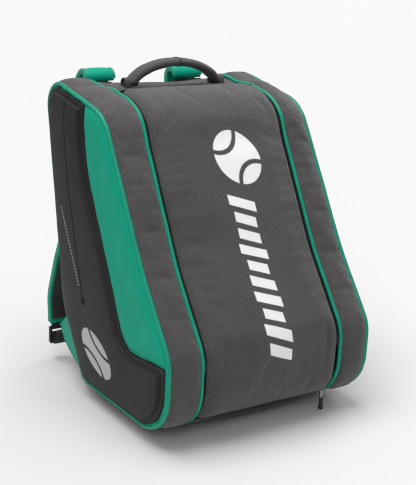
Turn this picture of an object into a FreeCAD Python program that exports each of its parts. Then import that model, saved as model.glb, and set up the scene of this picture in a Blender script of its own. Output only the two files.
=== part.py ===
import FreeCAD, Part
import math
import os

# Racket backpack: a tapered bag with a zipped front flap, racket sleeves at both sides,
# moulded side shells, a carry handle and two padded shoulder straps.
#
# Millimetres. +X is to the right of somebody who faces the front, -Y is the front, +Z is up.
# Sizes are given with y = 0 at the foot of the front and z = 0 at the underside of the fabric
# base. The last step moves everything so that the origin lies on the ground, under the middle
# of the overall box.

Vector = FreeCAD.Vector

# ---- driving sizes of the bag ----
bag_width = 375.0          # outside, across both side panels
panel = 5.0                # padded fabric panel
side_panel = 4.0           # fabric side panel
fit_gap = 0.4              # between pieces that move past each other
cushion_deep = 18.0        # padded cushion under the base
cushion_margin = 24.0      # from the base's edges at the sides
cushion_toe = 17.0         # behind the foot's round
cushion_heel = 1.0         # behind the corner of the base and the back
long = 2000.0              # longer than anything here, for cutting prisms

# Side outline: corners (y, z) and the radius at each, clockwise from the front foot.
foot_radius = 75.0
outline_corners = [
    ((0.0, 0.0), foot_radius),       # front foot
    ((0.0, 128.0), 60.0),            # front knee
    ((82.0, 234.0), 300.0),          # waist of the front
    ((214.0, 452.0), 75.0),          # brow
    ((414.0, 488.0), 40.0),          # top of the back
    ((337.0, 110.0), 120.0),         # lower back
    ((261.0, 0.0), 30.0),            # back of the base
]
hub = (200.0, 230.0)                 # inside the bag: every panel joint lies on a ray from here
foot_centre = (foot_radius, foot_radius)

# ---- seams, piping and zips ----
seam_x = 131.0             # inner piping, from the middle
piping_radius = 3.0
piping_end_angle = 32.0    # the inner piping ends here on the foot's round
seam_grip = 0.5            # of a panel's thickness, under the piping's cord
coil_width = 2.2           # one half of the zip chain
coil_thick = 2.0
tape_depth = 3.0           # zip tape under the panel's surface
lower_zip_angle = 42.0     # where the lower zip lies on the foot's round, from straight down
lower_zip_half = 124.0     # half its length
fold_z = 100.0             # the flap folds here
top_zip_y = 284.0          # the zip crosses the top here
flap_crown = 6.0           # the flap's padding stands this proud
end_overlap = 6.0          # pieces are made this much too long before they are cut square

# ---- side shell ----
shell_thick = 9.0
shell_gap = 0.5            # between the shell's rim and the piping round it
shell_front_inset = 5.0    # more than that along the front
shell_rim = 8.0            # the raised field is inset from the rim
shell_step_high = 4.0
# Front edge of the tall part and the step over the foot of the shell, (y, z) and radius.
shell_step = [((272.0, 520.0), 0), ((277.0, 430.0), 60), ((262.0, 352.0), 200),
              ((128.0, 104.0), 45), ((-20.0, 118.0), 0)]
groove = [(328.0, 462.0), (327.0, 415.0), (312.0, 330.0), (276.0, 222.0), (248.0, 147.0)]
groove_width = 3.0
groove_depth = 3.0

# ---- handle ----
handle_y = 320.0
handle_span = 190.0        # between the middles of its ends
handle_rise = 37.0         # top of the arc over the hinge axis
handle_deep = 16.0         # thickness of the grip along the arc's radius
handle_wide = 28.0
handle_barrel = 5.0        # rolled end of the webbing
barrel_length = 26.0
saddle_length = 13.0
saddle_gap = 2.5           # inner face of the saddle, from the foot of the arc
saddle_wall = 3.0
saddle_floor = 1.5         # under the barrel
patch_thick = 1.2          # fabric patch under each end of the handle
patch_reach = 30.0         # outwards from the saddle
patch_wide = 34.0
grip_heel = 3.0            # the grip's ends taper to this far under the axis

# ---- shoulder straps ----
strap_thick = 12.0
mesh_thick = 2.5
strap_pivot = (420.0, 462.0)                 # rolled seam at the top of the back
strap_route = [((424.0, 491.0), 10.0), ((446.0, 478.0), 12.0), ((438.0, 420.0), 90.0),
               ((387.0, 240.0), 120.0), ((424.0, 98.0), 60.0)]     # centre line in between
strap_end = (414.0, 48.0)
strap_inner = [(62.0, 530.0), (62.0, 440.0), (78.0, 360.0), (100.0, 270.0), (122.0, 170.0),
               (146.0, 40.0)]                # (x, z) of the edge towards the neck
strap_outer = [(120.0, 530.0), (122.0, 440.0), (143.0, 360.0), (160.0, 270.0),
               (171.0, 170.0), (177.0, 40.0)]
mesh_top_z = 450.0
strap_seam_radius = 5.0

# ---- ladder lock and lower webbing ----
lock_x = 160.0
lock_width = 34.0
lock_height = 26.0
lock_thick = 4.0
lock_bar = 2.0
webbing_width = 25.0
webbing_thick = 1.6
webbing_end_gap = 1.5      # under the ladder lock
webbing_sag = 6.0          # the webbing dips this far under that, on its way from the wing
wing_corners = [(318.0, 96.0), (392.0, 44.0), (280.0, 16.0)]   # the second is its tip
wing_hem = 7.0             # folded tip that holds the webbing
wing_thick = 3.0
wing_x = 182.0

# ---- back pads, boards and dividers ----
pad_thick = 9.0
pad_inner_x = 18.0
pad_outer_x = 118.0
pad_low_z = 128.0
pad_high_z = 432.0
lumbar_half = 95.0
lumbar_low_z = 52.0
lumbar_high_z = 114.0
board_thick = 1.5
lay_gap = 0.2              # between pieces that lie loose on each other
sheet_half = 116.0
sheet_low_z = 60.0
sheet_high_z = 440.0
board_half = 165.0
shelf_thick = 2.0
floor_drop = 6.0           # the shelf between the two compartments lies under the fold
divider_thick = 3.0
divider_edge = [(96.0, -10.0), (96.0, 150.0), (226.0, 335.0), (460.0, 335.0), (460.0, -10.0)]

# ---- sliders and pulls ----
slider_length = 11.0
slider_width = 8.0
slider_thick = 2.4
pin_radius = 0.8
eye_radius = 1.9
pin_height = 2.6           # pin over the slider's face
ear_thick = 1.2
tab_width = 4.6
tab_length = 13.0
tab_thick = 1.4
top_park_x = 8.0           # the two top sliders, from the middle
lower_park_x = 118.0
grip_length = 20.0
grip_radius = 3.6          # at its lower end
stem_radius = 2.6          # at its upper end
grip_lap = 3.0             # over the end of the tab


def corner_points(corners, closed=True):
    """Edges of a polyline whose corners are rounded, corners being ((a, b), radius)."""
    count = len(corners)
    marks = []
    for i, (point, radius) in enumerate(corners):
        here = Vector(point[0], point[1], 0)
        if not radius or (not closed and i in (0, count - 1)):
            marks.append((here, here, None))
            continue
        back = (Vector(*corners[i - 1][0], 0) - here).normalize()
        ahead = (Vector(*corners[(i + 1) % count][0], 0) - here).normalize()
        half = back.getAngle(ahead) / 2
        reach = radius / math.tan(half)
        middle = here + (back + ahead).normalize() * (radius / math.sin(half) - radius)
        marks.append((here + back * reach, here + ahead * reach, middle))
    edges = []
    for i in range(count):
        start, end, middle = marks[i]
        if middle is not None:
            edges.append(Part.Arc(start, middle, end).toShape())
        if closed or i < count - 1:
            following = marks[(i + 1) % count][0]
            if (following - end).Length > 1e-6:
                edges.append(Part.makeLine(end, following))
    return edges


def side_wire(edges):
    """Stands flat (a, b) edges up in the side plane, a being y and b being z."""
    wire = Part.Wire(edges)
    wire.Placement = FreeCAD.Placement(FreeCAD.Matrix(0, 0, 1, 0, 1, 0, 0, 0, 0, 1, 0, 0, 0, 0, 0, 1))
    return wire


def prism(wire, x0, x1):
    """A side-plane wire drawn out from x0 to x1."""
    face = Part.Face(wire)
    face.translate(Vector(x0, 0, 0))
    return face.extrude(Vector(x1 - x0, 0, 0))


def outline(offset=0.0):
    """The bag's side outline, offset outwards."""
    wire = side_wire(corner_points(outline_corners))
    return wire.makeOffset2D(offset) if offset else wire


def ring(outer, inner, x0, x1):
    """A wall between two offsets of the outline."""
    return prism(outline(outer), x0, x1).cut(prism(outline(inner), x0, x1))


def polygon(points, x0, x1):
    """A side-plane polygon drawn out from x0 to x1."""
    return prism(side_wire(corner_points([(p, 0) for p in points])), x0, x1)


def sector(start, end):
    """Everything between two rays from the hub, less than half a turn, going clockwise."""
    centre = Vector(0, *hub)
    first = (Vector(0, *start) - centre).normalize() * long
    last = (Vector(0, *end) - centre).normalize() * long
    corners = [centre, centre + first, centre + first + last, centre + last]
    return polygon([(c.y, c.z) for c in corners], -long / 2, long / 2)


def mirror(shape):
    """The same piece on the other side."""
    return shape.mirror(Vector(0, 0, 0), Vector(1, 0, 0))


def box(low, high):
    """A box between two corners."""
    size = [b - a for a, b in zip(low, high)]
    return Part.makeBox(*size, Vector(*low))


def top_z(y, lift=0.0):
    """Height of the bag's flat top at y, lifted along its normal."""
    (y0, z0), (y1, z1) = outline_corners[3][0], outline_corners[4][0]
    slope = (z1 - z0) / (y1 - y0)
    return z0 + (y - y0) * slope + lift * math.hypot(1, slope)


def foot_point(angle, lift=0.0):
    """A point on the foot's round, by its angle from straight down."""
    reach = foot_radius + lift
    turn = math.radians(angle)
    return (foot_centre[0] - reach * math.sin(turn), foot_centre[1] - reach * math.cos(turn))


def back_y(z, lift=0.0):
    """Depth of the bag's back at height z, between its two rounded ends."""
    (y1, z1), (y0, z0) = outline_corners[4][0], outline_corners[5][0]
    slope = (y1 - y0) / (z1 - z0)
    return y0 + (z - z0) * slope + lift * math.hypot(1, slope)


def strip(points, thickness, x0, x1):
    """A band of even thickness along a rounded line in the side plane; ends are square."""
    sides = []
    for sign in (1, -1):
        shifted = []
        for i, (point, radius) in enumerate(points):
            here = Vector(*point, 0)
            ways = []
            if i > 0:
                ways.append((here - Vector(*points[i - 1][0], 0)).normalize())
            if i < len(points) - 1:
                ways.append((Vector(*points[i + 1][0], 0) - here).normalize())
            normals = [Vector(-w.y, w.x, 0) for w in ways]
            if len(normals) == 1:
                shift = normals[0]
                outer = 0.0
            else:
                total = (normals[0] + normals[1]).normalize()
                shift = total / total.dot(normals[0])
                outer = -sign * math.copysign(1, ways[0].cross(ways[1]).z)
            moved = here + shift * (sign * thickness / 2)
            shifted.append(((moved.x, moved.y), max(0, radius + outer * thickness / 2)))
        sides.append(shifted)
    return prism(side_wire(corner_points(sides[0] + sides[1][::-1])), x0, x1)


def tube(wire, radius):
    """A round cord along a wire of lines and arcs."""
    start = wire.OrderedEdges[0]
    at = start.valueAt(start.FirstParameter)
    way = start.tangentAt(start.FirstParameter)
    section = Part.Wire(Part.makeCircle(radius, at, way))
    shell = Part.BRepOffsetAPI.MakePipeShell(wire)
    shell.add(section)
    shell.setTransitionMode(2)
    shell.build()
    shell.makeSolid()
    return shell.shape()


# Where the panels meet, on the outline.
lower_zip = foot_point(lower_zip_angle)
base_back = (256.0, 4.0)
top_back = (404.0, 478.0)
top_zip = (top_zip_y, top_z(top_zip_y))
fold = (0.0, fold_z)
side_x = bag_width / 2 - side_panel            # inner face of a side panel
shell_inset = 2 * piping_radius + shell_gap    # from the outline
inner_piping_depth = panel - seam_grip - piping_radius
tape_edge = seam_x - piping_radius - coil_width
flap_edge = tape_edge - fit_gap - coil_width


def hard_line(side):
    """The outer piping of one side: a closed loop round the side panel."""
    wire = outline(-piping_radius)
    loop = tube(wire, piping_radius)
    loop.translate(Vector(side_x + piping_radius, 0, 0))
    return loop if side > 0 else mirror(loop)


def inner_line(side):
    """Inner piping: over the front and the top, from the base to the back."""
    full = outline(-inner_piping_depth)
    body = tube(full, piping_radius)
    body.translate(Vector(seam_x, 0, 0))
    keep = body.cut(sector(foot_point(piping_end_angle), base_back)).cut(sector(base_back, top_back))
    return keep if side > 0 else mirror(keep)


def make_shell_body():
    """Fabric panels, their piping and the zip halves that stay with the bag."""
    parts = {}
    outer_right = hard_line(1)
    inner_right = inner_line(1)
    back = sector(base_back, top_back)
    base = sector(lower_zip, base_back)
    side = prism(outline(-piping_radius), side_x, bag_width / 2).cut(outer_right)
    parts["right_side_panel"] = side
    band = ring(0, -panel, seam_x, side_x).cut(base).cut(back)
    band = band.cut(outer_right).cut(inner_right)
    parts["right_front_band"] = band
    parts["right_outer_piping"] = outer_right
    parts["right_inner_piping"] = inner_right
    tape = ring(-tape_depth, -tape_depth - coil_thick, tape_edge, seam_x)
    tape = tape.common(sector(fold, (top_zip[0], top_zip[1]))).cut(inner_right)
    for name in list(parts):
        parts[name.replace("right", "left")] = mirror(parts[name])
    inner = parts["left_inner_piping"].fuse(inner_right)
    outer = parts["left_outer_piping"].fuse(outer_right)
    middle = ring(0, -panel, -seam_x, seam_x)
    parts["back_panel"] = ring(0, -panel, -side_x, side_x).common(back).cut(outer)
    whole_base = ring(0, -panel, -side_x, side_x).common(base)
    parts["base_panel"] = whole_base.cut(outer).cut(inner).cut(lower_chain())
    yoke_start = on_top(box((-long, -long, -long / 4), (long, 0, long / 4)), top_zip_y)
    ahead = (top_zip[0] - end_overlap, top_z(top_zip[0] - end_overlap))
    parts["top_yoke"] = middle.common(sector(ahead, top_back)).cut(yoke_start).cut(inner)
    lower_front = middle.common(sector(lower_zip, fold)).cut(inner)
    parts["front_lower_panel"] = lower_front.cut(lower_chain())
    bar = top_bar(coil_width, 0.0)
    parts["top_yoke"] = parts["top_yoke"].cut(bar)
    parts["bag_zip_half"] = Part.makeCompound([tape, mirror(tape), bar])
    parts["lower_zip_chain"] = lower_chain()
    return parts


def top_bar(width, start):
    """One half of the zip where it crosses the top, start to start + width behind the joint."""
    bar = box((-tape_edge + fit_gap, start, -tape_depth - coil_thick),
              (tape_edge - fit_gap, start + width, -tape_depth + 1.5))
    return on_top(bar, top_zip_y)


def on_top(shape, y):
    """Moves a piece modelled flat at the origin onto the sloping top at y."""
    slope = math.degrees(math.atan2(top_z(1) - top_z(0), 1))
    placed = shape.copy()
    placed.rotate(Vector(0, 0, 0), Vector(1, 0, 0), slope)
    placed.translate(Vector(0, y, top_z(y)))
    return placed


def on_foot(shape, angle):
    """Moves a piece modelled flat at the origin, +Z outwards, onto the foot's round."""
    y, z = foot_point(angle)
    placed = shape.copy()
    placed.rotate(Vector(0, 0, 0), Vector(1, 0, 0), 180.0 - angle)
    placed.translate(Vector(0, y, z))
    return placed


def lower_chain():
    """The closed lower zip, straight across the foot."""
    chain = box((-lower_zip_half, -coil_width, -coil_thick), (lower_zip_half, coil_width, 0.6))
    return on_foot(chain, lower_zip_angle)


def make_flap():
    """The front flap and the half of the zip that goes with it."""
    beyond = (top_zip[0] + end_overlap, top_z(top_zip[0] + end_overlap))
    yoke_side = on_top(box((-long, -fit_gap, -long / 4), (long, long, long / 4)), top_zip_y)
    region = sector((fold[0], fold[1] + fit_gap), beyond).cut(yoke_side)
    panel_body = ring(flap_crown, -panel, -flap_edge, flap_edge).common(region)
    half = ring(-tape_depth, -tape_depth - coil_thick, flap_edge, flap_edge + coil_width)
    half = half.common(region)
    return {"flap_panel": panel_body, "flap_zip_half": Part.makeCompound([half, mirror(half)])}


def make_shell():
    """Moulded side shell: a plate, a raised field inset from its rim, and a groove in the field."""
    inset = prism(outline(-shell_inset), 0, shell_thick)
    pushed = inset.copy()
    pushed.translate(Vector(0, shell_front_inset, 0))
    step = shell_step + [((-20.0, -20.0), 0), ((460.0, -20.0), 0), ((460.0, 520.0), 0)]
    plate = inset.common(pushed).common(prism(side_wire(corner_points(step)), 0, shell_thick))
    plate = plate.removeSplitter()
    rim = [f for f in plate.Faces if abs(f.BoundBox.XMin - shell_thick) < 1e-4][0].OuterWire
    field = rim.makeOffset2D(-shell_rim)
    field.translate(Vector(-shell_step_high, 0, 0))
    lower = plate.common(box((0, -long, -long), (shell_thick - shell_step_high, long, long)))
    body = lower.fuse(Part.Face(field).extrude(Vector(shell_step_high, 0, 0))).removeSplitter()
    slot = strip([(groove[0], 0)] + [(p, 80.0) for p in groove[1:-1]] + [(groove[-1], 0)],
                 groove_width, shell_thick - groove_depth, shell_thick + 1)
    body = body.cut(slot)
    body.translate(Vector(bag_width / 2, 0, 0))
    return body


def make_handle():
    """Padded grip on rolled webbing ends, which turn in two saddles on the top."""
    axis_z = top_z(handle_y, handle_barrel + fit_gap + saddle_floor + patch_thick)
    half = handle_span / 2
    foot = half - saddle_length
    top = axis_z + handle_rise

    def arc_face(low, reach, rise):
        ends = [Vector(-reach, handle_y - handle_wide / 2, low),
                Vector(reach, handle_y - handle_wide / 2, low)]
        crown = Vector(0, handle_y - handle_wide / 2, rise)
        return Part.Arc(ends[0], crown, ends[1]).toShape(), ends

    outer, outer_ends = arc_face(axis_z + 2.0, foot + 2.0, top)
    inner, inner_ends = arc_face(axis_z + 2.0, foot - handle_deep, top - handle_deep)
    sides = [Part.makeLine(outer_ends[1], inner_ends[1]), Part.makeLine(inner_ends[0], outer_ends[0])]
    face = Part.Face(Part.Wire(Part.__sortEdges__([outer, inner] + sides)))
    grip = face.extrude(Vector(0, handle_wide, 0))
    long_edges = [e for e in grip.Edges if e.Length > handle_span / 2]
    grip = grip.makeFillet(5.0, long_edges)
    barrel = Part.makeCylinder(handle_barrel, barrel_length,
                               Vector(foot - saddle_length, handle_y, axis_z), Vector(1, 0, 0))
    saddle_reach = handle_barrel + fit_gap + saddle_wall
    saddle_top = saddle_reach + handle_barrel + fit_gap + saddle_floor + patch_thick
    saddle = on_top(box((foot + saddle_gap, -saddle_reach, patch_thick),
                        (foot + saddle_length, saddle_reach, saddle_top)), handle_y)
    bore = Part.makeCylinder(handle_barrel + fit_gap, 60.0,
                             Vector(foot - 10, handle_y, axis_z), Vector(1, 0, 0))
    patch = on_top(box((foot + saddle_gap, -patch_wide / 2, 0),
                       (foot + saddle_length + patch_reach, patch_wide / 2, patch_thick)), handle_y)
    saddle = saddle.cut(bore)
    reach = handle_rise + handle_wide
    keel = polygon([(handle_y, axis_z - grip_heel), (handle_y + reach, axis_z - grip_heel + reach),
                    (handle_y - reach, axis_z - grip_heel + reach)], -half, half)
    grip = grip.common(keel).cut(Part.makeCompound([barrel, mirror(barrel)]))
    parts = {"handle_grip": grip, "handle_webbing": Part.makeCompound([barrel, mirror(barrel)]),
             "right_handle_saddle": saddle, "left_handle_saddle": mirror(saddle),
             "right_handle_patch": patch, "left_handle_patch": mirror(patch)}
    return parts, (0.0, handle_y, axis_z)


def strap_plan():
    """The strap's shape seen from behind, drawn out through the whole depth."""
    edges = []
    for points in (strap_inner, strap_outer[::-1]):
        curve = Part.BSplineCurve()
        curve.interpolate([Vector(x, 0, z) for x, z in points])
        edges.append(curve.toShape())
    ends = [Vector(strap_inner[i][0], 0, strap_inner[i][1]) for i in (0, -1)]
    others = [Vector(strap_outer[i][0], 0, strap_outer[i][1]) for i in (0, -1)]
    edges.insert(1, Part.makeLine(ends[1], others[1]))
    edges.append(Part.makeLine(others[0], ends[0]))
    face = Part.Face(Part.Wire(edges))
    return face.extrude(Vector(0, long, 0))


def make_strap():
    """Right shoulder strap: pad, mesh lining, rolled seam, webbing tail and ladder lock."""
    route = [(strap_pivot, 0)] + strap_route + [(strap_end, 0)]
    plan = strap_plan()
    core = strip(route, strap_thick, 0, bag_width / 2)
    seam = Part.makeCylinder(strap_seam_radius, 58.0, Vector(62.0, *strap_pivot), Vector(1, 0, 0))
    band = core.common(plan).cut(seam)
    outer_part = strip(route, strap_thick, 0, bag_width / 2)
    outer_part.translate(Vector(0, mesh_thick, 0))
    below = box((0, 0, -long), (long, long, mesh_top_z))
    mesh = band.common(below).cut(outer_part)
    pad = band.cut(mesh)
    parts = {"right_strap_pad": pad, "right_strap_mesh": mesh, "right_strap_seam": seam}
    # The lock hangs on a short loop at the end of the pad and turns about the loop's bar.
    lock_y, lock_z = strap_end[0], strap_end[1] - 7.0
    half = lock_width / 2
    frame = box((lock_x - half, lock_y - lock_thick / 2, lock_z - lock_height),
                (lock_x + half, lock_y + lock_thick / 2, lock_z + lock_bar))
    for low, high in ((-20.5, -13.5), (-10.5, -2.4)):
        frame = frame.cut(box((lock_x - webbing_width / 2 - 0.5, lock_y - 5, lock_z + low),
                              (lock_x + webbing_width / 2 + 0.5, lock_y + 5, lock_z + high)))
    frame = frame.cut(box((lock_x - webbing_width / 2 - 0.5, lock_y - 5, lock_z - 2.4),
                          (lock_x + webbing_width / 2 + 0.5, lock_y + 5, lock_z + 5)))
    bar = Part.makeCylinder(lock_bar, webbing_width + 1.0,
                            Vector(lock_x - webbing_width / 2 - 0.5, lock_y, lock_z), Vector(1, 0, 0))
    parts["right_ladder_lock"] = frame.fuse(bar).removeSplitter()
    loop_out = lock_bar + fit_gap + webbing_thick
    loop = Part.makeCylinder(loop_out, webbing_width, Vector(lock_x - webbing_width / 2, lock_y, lock_z),
                             Vector(1, 0, 0))
    loop = loop.cut(Part.makeCylinder(lock_bar + fit_gap, webbing_width,
                                      Vector(lock_x - webbing_width / 2, lock_y, lock_z), Vector(1, 0, 0)))
    stem = box((lock_x - webbing_width / 2, lock_y - webbing_thick, lock_z + loop_out - 0.6),
               (lock_x + webbing_width / 2, lock_y + webbing_thick, strap_end[1] + 1.0))
    parts["right_lock_loop"] = loop.fuse(stem).cut(pad).cut(mesh).removeSplitter()
    return parts, (0.0, *strap_pivot), (lock_x, lock_y, lock_z)


def make_anchor(lock_at):
    """Wing at the foot of the back and the webbing from it up to the ladder lock."""
    body = prism(outline(), -long / 2, long / 2)
    wing = polygon(wing_corners, wing_x - wing_thick, wing_x).cut(body)
    tip_y, tip_z = wing_corners[1]
    near = lock_x - webbing_width / 2
    hem = box((near, tip_y - 1.4 * wing_hem, tip_z - wing_hem / 2),
              (wing_x - wing_thick, tip_y - 0.4 * wing_hem, tip_z + wing_hem / 4))
    low_y, low_z = lock_at[1], lock_at[2] - lock_height - webbing_end_gap
    path = [((tip_y - 0.4 * wing_hem, tip_z - webbing_thick), 0), ((tip_y + 4.0, tip_z - webbing_thick), 4.0),
            ((low_y - 11.0, low_z - webbing_sag), 5.0), ((low_y, low_z), 0)]
    webbing = strip(path, webbing_thick, near, near + webbing_width)
    return {"right_wing": wing.fuse(hem).removeSplitter(), "right_lower_webbing": webbing.cut(hem)}


def make_back():
    """Foam pads on the outside of the back."""
    def pad(x0, x1, z0, z1):
        body = ring(pad_thick, 0, x0, x1).common(sector(base_back, top_back))
        return body.common(box((x0 - 1, -long / 2, z0), (x1 + 1, long / 2, z1)))

    right = pad(pad_inner_x, pad_outer_x, pad_low_z, pad_high_z)
    return {"right_back_pad": right, "left_back_pad": mirror(right),
            "lumbar_pad": pad(-lumbar_half, lumbar_half, lumbar_low_z, lumbar_high_z)}


def make_slider(one_sided=False):
    """A zip slider lying flat at the origin: a saddle over the chain with two ears and a pin."""
    low = 0.6 + 0.3
    half = slider_width / 2
    start = 0.3 if one_sided else -half
    body = box((-slider_length / 2, start, low), (slider_length / 2, start + slider_width, low + slider_thick))
    body = body.makeFillet(0.9, [e for e in body.Edges if abs(e.BoundBox.ZLength - slider_thick) < 1e-3])
    middle = start + half
    pin_z = low + slider_thick + pin_height
    ears = []
    for sign in (-1, 1):
        x = sign * (tab_width / 2 + 0.2 + ear_thick / 2)
        ear = box((x - ear_thick / 2, middle - 1.6, low + slider_thick - 0.1),
                  (x + ear_thick / 2, middle + 1.6, pin_z + 1.4))
        ears.append(ear)
    pin_half = tab_width / 2 + 0.2 + ear_thick
    pin = Part.makeCylinder(pin_radius, 2 * pin_half, Vector(-pin_half, middle, pin_z), Vector(1, 0, 0))
    return body, ears + [pin], Vector(0, middle, pin_z)


def make_tab(at):
    """Pull tab with a rolled eye round the slider's pin, pointing to +Y."""
    eye = Part.makeCylinder(eye_radius, tab_width, at - Vector(tab_width / 2, 0, 0), Vector(1, 0, 0))
    blade = box((at.x - tab_width / 2, at.y, at.z - tab_thick / 2),
                (at.x + tab_width / 2, at.y + tab_length, at.z + tab_thick / 2))
    hole = Part.makeCylinder(pin_radius + 0.15, tab_width + 2, at - Vector(tab_width / 2 + 1, 0, 0),
                             Vector(1, 0, 0))
    return eye.fuse(blade).cut(hole).removeSplitter()


def make_top_sliders():
    """Two sliders that meet in the middle of the top, their pulls lying back on the yoke."""
    body, fittings, pin_at = make_slider(one_sided=True)
    slider = body.multiFuse(fittings).removeSplitter()
    tab = make_tab(pin_at)
    tab.rotate(pin_at, Vector(1, 0, 0), -12.0)
    parts = {}
    for name, x in (("left", -top_park_x), ("right", top_park_x)):
        for kind, shape in (("slider", slider), ("pull", tab)):
            moved = shape.copy()
            moved.translate(Vector(x, 0, 0))
            parts[f"{name}_top_{kind}"] = on_top(moved, top_zip_y)
    mark = on_top(Part.Vertex(pin_at), top_zip_y).Vertexes[0].Point
    return parts, (mark.x, mark.y, mark.z)


def make_lower_slider():
    """The lower zip's slider, with a metal tab and a moulded grip that hang from its bridge."""
    body, fittings, pin_at = make_slider()
    slider = on_foot(body.multiFuse(fittings).removeSplitter(), lower_zip_angle)
    mark = on_foot(Part.Vertex(pin_at), lower_zip_angle).Vertexes[0].Point
    tab = make_tab(mark)
    tab.rotate(mark, Vector(1, 0, 0), -90.0)
    top = Vector(0, mark.y, mark.z - tab_length + grip_lap)
    grip = Part.makeCone(stem_radius, grip_radius, grip_length, top, Vector(0, 0, -1)).cut(tab)
    parts = {"lower_slider": slider, "lower_pull_tab": tab, "lower_pull_grip": grip}
    for shape in parts.values():
        shape.translate(Vector(lower_park_x, 0, 0))
    return parts, (lower_park_x, mark.y, mark.z)


def make_inside():
    """Boards and walls inside the bag and the cushion it stands on."""
    sheet = ring(-panel - lay_gap, -panel - lay_gap - board_thick, -sheet_half, sheet_half)
    sheet = sheet.common(sector(base_back, top_back))
    sheet = sheet.common(box((-long, 0, sheet_low_z), (long, long, sheet_high_z)))
    board = box((-board_half, foot_radius + 5.0, panel + lay_gap),
                (board_half, 236.0, panel + lay_gap + board_thick))
    floor_low = fold_z - floor_drop
    room = prism(outline(-panel - lay_gap - board_thick - lay_gap), -long / 2, long / 2)
    shelf_half = seam_x - divider_thick
    shelf = room.common(box((-shelf_half, panel + coil_thick, floor_low),
                            (shelf_half, long, floor_low + shelf_thick)))
    divider = room.common(polygon(divider_edge, shelf_half, seam_x))
    divider = divider.common(box((0, 0, panel + 2 * lay_gap + board_thick), (long, long, long)))
    (front_y, _), _ = outline_corners[0]
    back_corner = outline_corners[-1][0][0]
    cushion = box((-side_x + cushion_margin, front_y + foot_radius + cushion_toe, -cushion_deep),
                  (side_x - cushion_margin, back_corner + cushion_heel, 40.0))
    rim = [e for e in cushion.Edges if e.BoundBox.ZLength > 10 or e.BoundBox.ZMax < 1 - cushion_deep]
    cushion = cushion.makeFillet(10.0, rim).cut(prism(outline(), -long / 2, long / 2))
    parts = {"frame_sheet": sheet, "base_board": board, "shelf_panel": shelf,
             "right_divider": divider, "left_divider": mirror(divider), "base_cushion": cushion}
    return parts


def build():
    """Every node of the backpack, and the points that its joints turn about."""
    parts = make_shell_body()
    parts.update(make_flap())
    shell = make_shell()
    parts.update({"right_side_shell": shell, "left_side_shell": mirror(shell)})
    handle, handle_axis = make_handle()
    parts.update(handle)
    strap, strap_axis, lock_axis = make_strap()
    strap.update(make_anchor(lock_axis))
    for name, shape in strap.items():
        parts[name] = shape
        parts[name.replace("right", "left")] = mirror(shape)
    parts.update(make_back())
    parts.update(make_inside())
    tops, top_axis = make_top_sliders()
    parts.update(tops)
    lower, lower_axis = make_lower_slider()
    parts.update(lower)
    points = {"flap": (0.0, -flap_crown, fold_z), "handle": handle_axis, "strap": strap_axis,
              "lock": lock_axis, "top_pull": top_axis, "lower_pull": lower_axis}
    return parts, points


def main():
    """Moves the finished pieces onto the origin and writes one file for each."""
    parts, points = build()
    bounds = FreeCAD.BoundBox()
    for shape in parts.values():
        bounds.add(shape.BoundBox)
    shift = Vector(0, -(bounds.YMin + bounds.YMax) / 2, -bounds.ZMin)
    os.makedirs("parts", exist_ok=True)
    for name, shape in sorted(parts.items()):
        shape.translate(shift)
        shape.exportStep(os.path.join("parts", name + ".step"))
    for name, point in points.items():
        print(name, *(round(a + b, 3) for a, b in zip(point, shift)))


main()
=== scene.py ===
import bpy
import bmesh
import math
from mathutils import Matrix, Vector, geometry, kdtree, noise


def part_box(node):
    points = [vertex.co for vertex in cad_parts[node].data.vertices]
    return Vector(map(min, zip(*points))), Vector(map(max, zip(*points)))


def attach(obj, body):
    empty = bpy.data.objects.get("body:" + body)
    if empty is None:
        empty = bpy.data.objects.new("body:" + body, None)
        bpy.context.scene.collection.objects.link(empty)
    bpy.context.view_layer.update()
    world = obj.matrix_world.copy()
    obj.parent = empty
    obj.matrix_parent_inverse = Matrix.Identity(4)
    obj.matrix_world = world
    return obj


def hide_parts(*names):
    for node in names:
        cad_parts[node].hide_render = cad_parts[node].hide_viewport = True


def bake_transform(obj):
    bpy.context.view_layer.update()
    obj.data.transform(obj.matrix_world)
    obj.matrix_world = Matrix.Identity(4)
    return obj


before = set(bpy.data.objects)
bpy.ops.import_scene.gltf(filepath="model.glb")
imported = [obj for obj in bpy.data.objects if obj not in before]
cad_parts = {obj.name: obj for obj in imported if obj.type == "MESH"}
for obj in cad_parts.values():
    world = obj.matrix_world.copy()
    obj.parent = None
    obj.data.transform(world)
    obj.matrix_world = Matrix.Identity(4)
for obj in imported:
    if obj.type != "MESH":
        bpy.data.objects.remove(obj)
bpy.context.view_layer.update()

# Camera, floor and light.

view = {"from": (-0.9777, -1.4580, 0.7564), "right": (0.8326, -0.5518, 0.0479),
        "up": (0.1161, 0.2585, 0.9590), "back": (-0.5415, -0.7929, 0.2793), "lens": 82.1}
bpy.ops.object.camera_add()
camera = bpy.context.object
camera.data.lens = view["lens"]
camera.data.sensor_width = 36
camera.data.clip_end = 50
turned = Matrix((view["right"], view["up"], view["back"])).transposed()
camera.matrix_world = Matrix.LocRotScale(Vector(view["from"]), turned.to_quaternion(), None)
bpy.context.scene.camera = camera
bpy.context.scene.view_settings.view_transform = "Standard"

bpy.ops.mesh.primitive_plane_add(size=12)
floor = bpy.context.object
floor.name = "floor"
floorPaint = bpy.data.materials.new("paleFloor")
floorPaint.use_nodes = True
floorPaint.node_tree.nodes["Principled BSDF"].inputs["Base Color"].default_value = (0.80, 0.80, 0.80, 1)
floorPaint.node_tree.nodes["Principled BSDF"].inputs["Roughness"].default_value = 0.7
floor.data.materials.append(floorPaint)
floor.is_shadow_catcher = True

world = bpy.data.worlds.new("studio")
bpy.context.scene.world = world
world.use_nodes = True
sky = world.node_tree
glow = sky.nodes["Background"]
glow.inputs["Color"].default_value = (0.92, 0.93, 0.95, 1)
glow.inputs["Strength"].default_value = 0.42
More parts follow.
